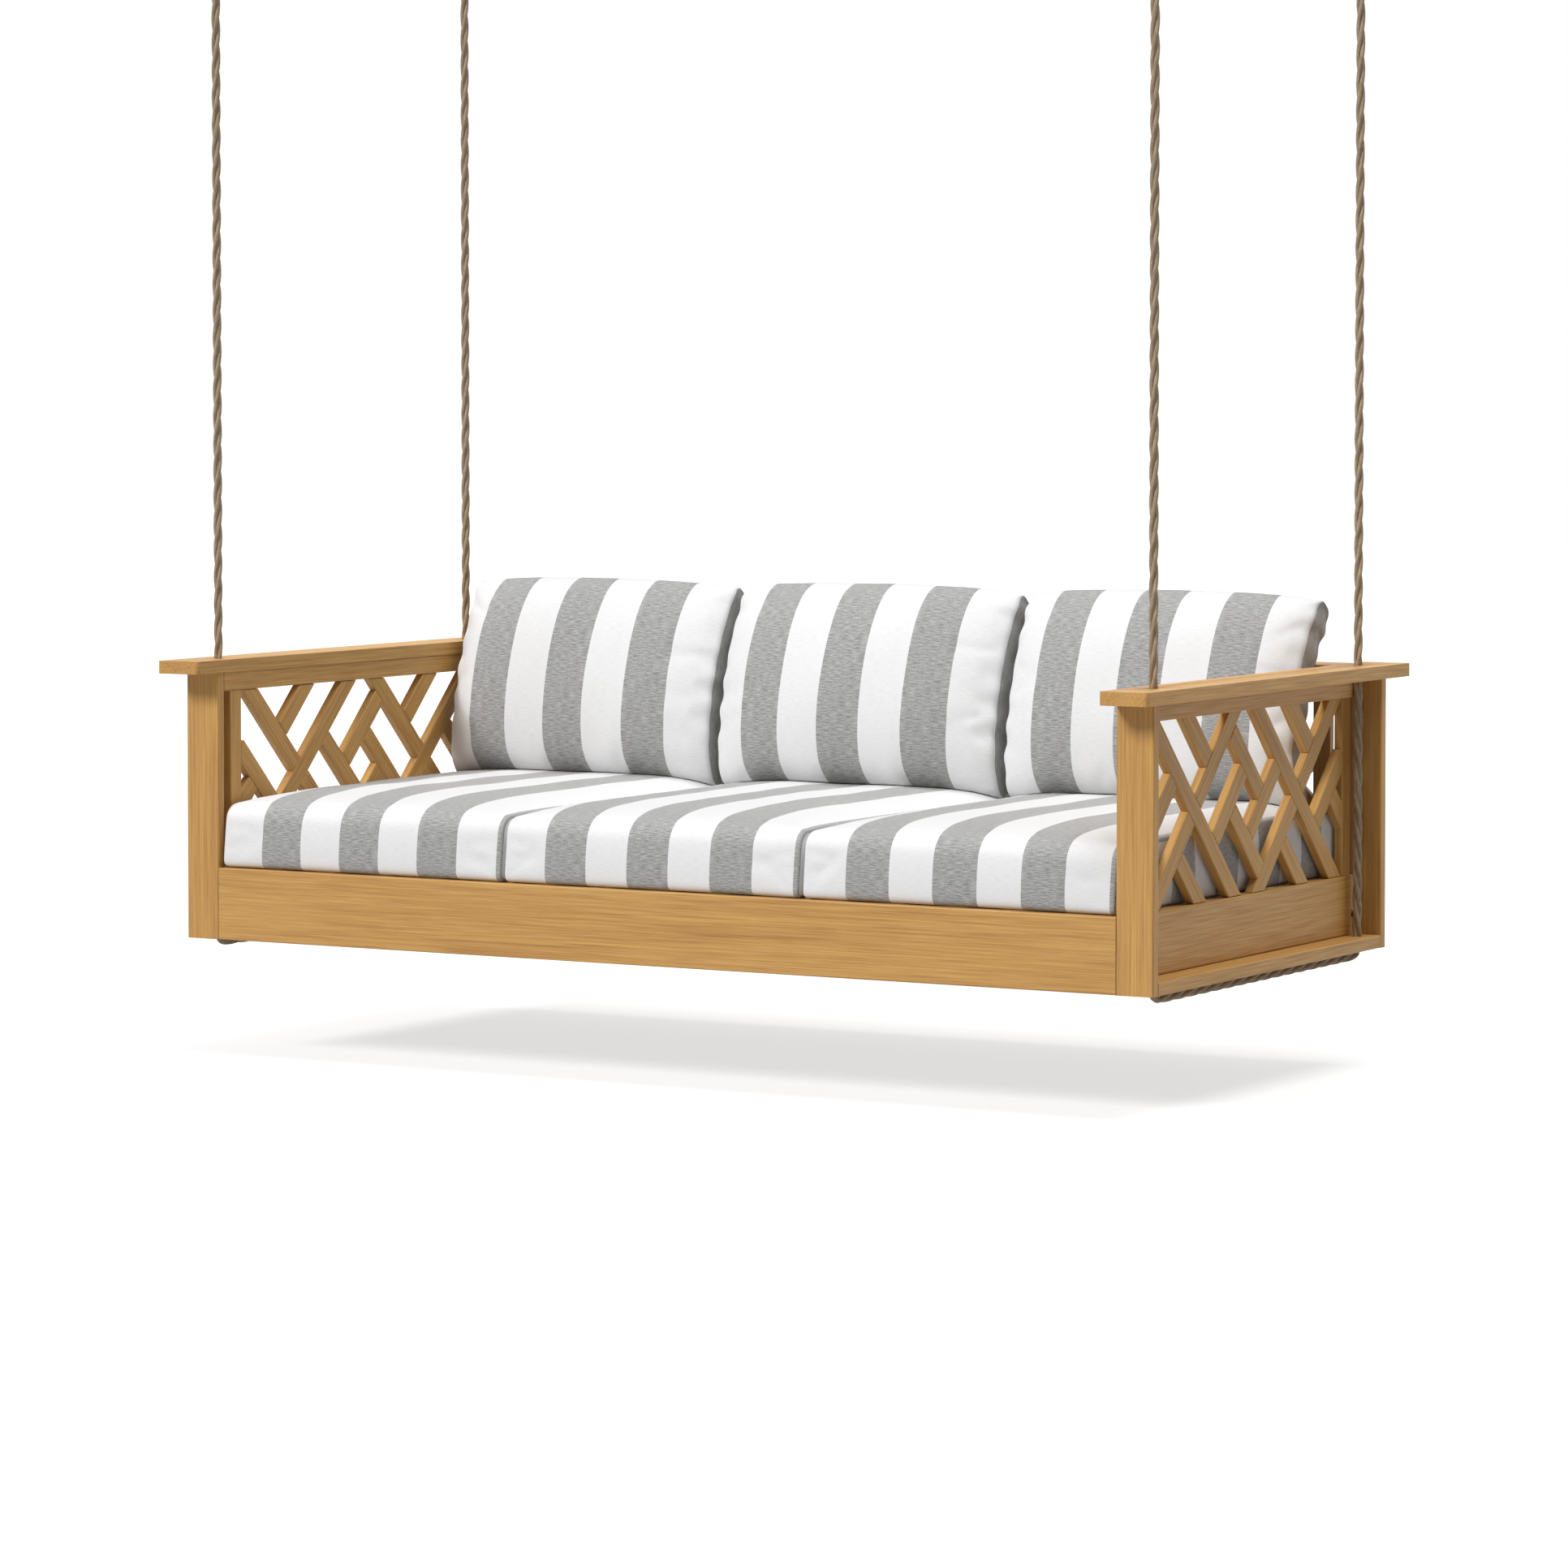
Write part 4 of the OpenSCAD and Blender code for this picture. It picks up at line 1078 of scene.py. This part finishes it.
# %% [markdown]
# ## Dressing the boards and fittings
#
# A board's grain runs along its length, so each node's material follows from its name.

# %% Which finish each node gets
GRAIN = {
    "x": ("rail_", "back_cap", "back_top_rail", "lattice_back_"),
    "y": ("side_rail_", "ledge_", "armrest_", "arm_rail_", "lattice_left", "lattice_right"),
    "z": ("post_", "arm_stiles_", "back_stiles", "back_mullion"),
}
BASE_GRAIN = {
    "x": ("slat_ledgers", "seat_beam"),
    "y": ("seat_slats",),
    "z": ("corner_blocks", "corner_cleats"),
}


def finish_for(name):
    """The material of a node, by the start of its name."""
    for table, woods in ((GRAIN, timber), (BASE_GRAIN, base_timber)):
        for axis, starts in table.items():
            if name.startswith(starts):
                return woods[axis]
    if name.startswith(("corner_bolts", "cleat_screws", "slat_screws")):
        return dark_steel
    if name.startswith(("rope_", "splice_")):
        return rope_finish
    if "cushion" in name:
        return stripes
    return steel


for name, node in NODES.items():
    set_material(node, finish_for(name))
print("nodes by finish:", {m.name: sum(n.data.materials[0] == m for n in NODES.values())
                           for m in bpy.data.materials if m.users})

# %% [markdown]
# ## Boards with eased edges
#
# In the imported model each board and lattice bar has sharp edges. On the real ones every
# arris is sanded, and where two boards meet there is a fine V-shaped line. A copy of each
# is merged into clean solids, its flat faces are joined, and a bevel does the sanding: the
# armrests, which hands rub, are rounded most. The grain of a lattice bar runs along the
# bar, so the panels get UVs of their own.

# %% Boards, lattice panels and armrests
CORNER_REACH = 9.5 * MM


def outer_edge(middle, low, high):
    """Whether an edge's middle is near two sides of its board's box, so on no hole's rim."""
    near = [min(m - a, b - m) < CORNER_REACH for m, a, b in zip(middle, low, high)]
    return sum(near) > 1


def eased_copy(name, new_name, width, rims=True):
    """A copy of a node with merged points and flat faces joined, and a bevel on its sharp
    edges. Without rims, the bevel leaves the rims of bores and notches as they are, and the
    upright edges of a corner that is an arc of facets."""
    low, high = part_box(name)
    sharp = math.radians(30 if rims else 50)
    mesh = bmesh.new()
    mesh.from_mesh(NODES[name].data)
    bmesh.ops.remove_doubles(mesh, verts=mesh.verts, dist=0.01 * MM)
    bmesh.ops.dissolve_limit(mesh, angle_limit=math.radians(1), verts=mesh.verts, edges=mesh.edges)
    bmesh.ops.triangulate(mesh, faces=[face for face in mesh.faces if len(face.verts) > 4])
    bmesh.ops.recalc_face_normals(mesh, faces=mesh.faces)
    weight = mesh.edges.layers.float.new("bevel_weight_edge")
    for edge in mesh.edges:
        middle = (edge.verts[0].co + edge.verts[1].co) / 2
        eased = edge.calc_face_angle(0) > sharp and (rims or outer_edge(middle, low, high))
        edge[weight] = float(eased)
    data = bpy.data.meshes.new(new_name)
    mesh.to_mesh(data)
    mesh.free()
    piece = bpy.data.objects.new(new_name, data)
    bpy.context.scene.collection.objects.link(piece)
    bevel = piece.modifiers.new("sanded edges", "BEVEL")
    bevel.width = width
    bevel.segments = 3
    bevel.limit_method = "WEIGHT"
    set_material(piece, finish_for(name))
    return piece


def grain_along_bars(piece, axis):
    """UVs of a lattice whose plane is axis (0 or 1) and Z: u along each bar, and v across it.

    A bar is a set of joined points, and it runs along the diagonal on which it is longer. Its
    number moves v by PATTERN_APART, so that no two bars are cut from one spot of the board."""
    mesh = piece.data
    co = points_of(mesh)
    pairs = np.empty(len(mesh.edges) * 2, int)
    mesh.edges.foreach_get("vertices", pairs)
    first, second = pairs.reshape(-1, 2).T
    bar = np.arange(len(co))
    for _ in range(20):
        least = np.minimum(bar[first], bar[second])
        np.minimum.at(bar, first, least)
        np.minimum.at(bar, second, least)
    bars, bar = np.unique(bar, return_inverse=True)
    slants = np.stack([co[:, axis] + co[:, 2], co[:, axis] - co[:, 2]]) / math.sqrt(2)
    spans = []
    for slant in slants:
        low, high = np.full(len(bars), np.inf), np.full(len(bars), -np.inf)
        np.minimum.at(low, bar, slant)
        np.maximum.at(high, bar, slant)
        spans.append(high - low)
    rising = (spans[0] > spans[1])[bar]
    u = np.where(rising, slants[0], slants[1])
    v = np.where(rising, slants[1], slants[0]) + co[:, 1 - axis] + PATTERN_APART * bar
    corner = np.empty(len(mesh.loops), int)
    mesh.loops.foreach_get("vertex_index", corner)
    layer = mesh.uv_layers.new(name="grain")
    layer.data.foreach_set("uv", np.stack([u, v], axis=1)[corner].ravel())
    print(f"{piece.name}: {len(bars)} bars")


PLANES = {"lattice_left": 1, "lattice_right": 1,
          "lattice_back_left": 0, "lattice_back_right": 0}
EASING = {"lattice_": 2.4 * MM, "armrest_": 4.5 * MM}
BOARD_EASING = 2.0 * MM
for name in sorted(name for name in NODES if finish_for(name) in timber.values()):
    width = next((EASING[start] for start in EASING if name.startswith(start)), BOARD_EASING)
    board = eased_copy(name, "eased_" + name, width, rims=name in PLANES)
    if name in PLANES:
        grain_along_bars(board, PLANES[name])
        set_material(board, timber["u"])
    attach(board, "bed")
    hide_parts(name)

# %% [markdown]
# ## Filling the cushions
#
# The covers so far are smooth. The cloth simulation blows each one up a little, as the
# filling does, and the cover answers with folds along its seams.

# %% Cushions, filled and finished
def finish_cushion(piece, node, materials):
    """Gives a cushion its cloth and smooths it once, in place of its node."""
    set_material(piece, *materials)
    smooth = piece.modifiers.new("smooth", "SUBSURF")
    smooth.levels = 1
    smooth.render_levels = 1
    piece.data.polygons.foreach_set("use_smooth", np.full(len(piece.data.polygons), True))
    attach(piece, "bed")
    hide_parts(node)


for where, seat in seat_cushions.items():
    swell(seat, 3.0, 5 * MM)
    press(seat, (CUSHION_X[where] - CLEAR_X, FRONT - 6 * MM, DECK + 0.5 * MM),
          (CUSHION_X[where] + CLEAR_X, SEAT_Y + SEAT_HALF_Y + 1 * MM, np.inf))
    finish_cushion(seat, "seat_cushion_" + where, (stripes, stripes))
for where, back in back_cushions.items():
    swell(back, 2.4, 4 * MM)
    press(back, (CUSHION_X[where] - CLEAR_X, -np.inf, -np.inf),
          (CUSHION_X[where] + CLEAR_X, np.inf, np.inf))
    rest_on_seat(back, seat_cushions[where])
    lean_on_cap(back)
    finish_cushion(back, "back_cushion_" + where, (stripes, plain_grey))

# %% Rope finish on its pieces
ROPE_PIECES = ("laid_rope_", "lower_rope_", "rope_knuckle", "splice_of_")
for piece in bpy.data.objects:
    if piece.type == "MESH" and piece.name.startswith(ROPE_PIECES):
        set_material(piece, rope_finish)

# %% [markdown]
# ## Floor and light
#
# The photograph has a white background and one soft shadow under the bed. The floor gives
# the object an even grey bounce, and the camera sees it lighter and washed with a white glow,
# so that only the place which both strong lamps miss shows as a shadow. The key lamp stands
# in front to the left, the other strong one nearly overhead, a weak wide one behind, and a
# little light comes from all round.

# %% Floor
FLOOR_Z = FEET - 228 * MM
FLOOR_R = 30
disc = np.linspace(0, 2 * np.pi, 64, endpoint=False)
floor_points = np.stack([FLOOR_R * np.cos(disc), FLOOR_R * np.sin(disc),
                         np.full(len(disc), FLOOR_Z)], axis=1)
floor = mesh_object("floor", floor_points, [range(len(disc))], smooth=False)
FELT_GREY = (0.45, 0.45, 0.45, 1)
SEEN_GREY = (0.81, 0.81, 0.81, 1)
GLOW, GLOW_SHARE = 1.444, 0.48
g = new_graph("pale_floor")
seen = g.seen()
diffuse = g.node("BsdfDiffuse", {"Color": g.mix(seen, FELT_GREY, SEEN_GREY)})
glow = g.node("Emission", {"Strength": GLOW})
blend = g.node("MixShader", {"Fac": g.times(seen, GLOW_SHARE),
                             1: diffuse.outputs[0], 2: glow.outputs[0]})
g.put(g.tree.nodes["Material Output"].inputs["Surface"], blend.outputs[0])
g.tree.nodes.remove(g.tree.nodes["Principled BSDF"])
set_material(floor, g.owner)

# %% World and lamps
AMBIENT = 0.1
LAMPS = {
    "key": ((-0.32, -0.73, 0.60), 2.56, 18),
    "overhead": ((0.26, 0.0, 0.966), 1.86, 30),
    "rear": ((0, 0.6, 0.8), 0.5, 60),
}
world = bpy.data.worlds.new("studio")
bpy.context.scene.world = world
sky = Graph(world)
background = sky.tree.nodes["Background"].inputs
background["Color"].default_value = (1, 1, 1, 1)
sky.put(background["Strength"], sky.ramp(sky.seen(), 0, 1, AMBIENT, 1.0, smooth=False))


def soft_sun(name, toward, strength, spread):
    """A sun lamp that shines from the direction toward, as wide as spread degrees."""
    data = bpy.data.lights.new(name, "SUN")
    data.energy = strength
    data.angle = math.radians(spread)
    lamp = bpy.data.objects.new(name, data)
    lamp.rotation_euler = Vector(toward).to_track_quat("Z", "Y").to_euler()
    bpy.context.scene.collection.objects.link(lamp)


for name, values in LAMPS.items():
    soft_sun(name, *values)
bpy.context.scene.view_settings.view_transform = "Standard"
print("floor at", round(FLOOR_Z, 3), "lamps", list(LAMPS))

# %% [markdown]
# ## Sizes and the end
#
# The dressed model has the frame's box, apart from the lower ropes, which hang a little
# lower than the solids, as they do in the photograph.

# %% Sizes, and finish
def corners(box):
    return [[float(v) for v in corner] for corner in box]
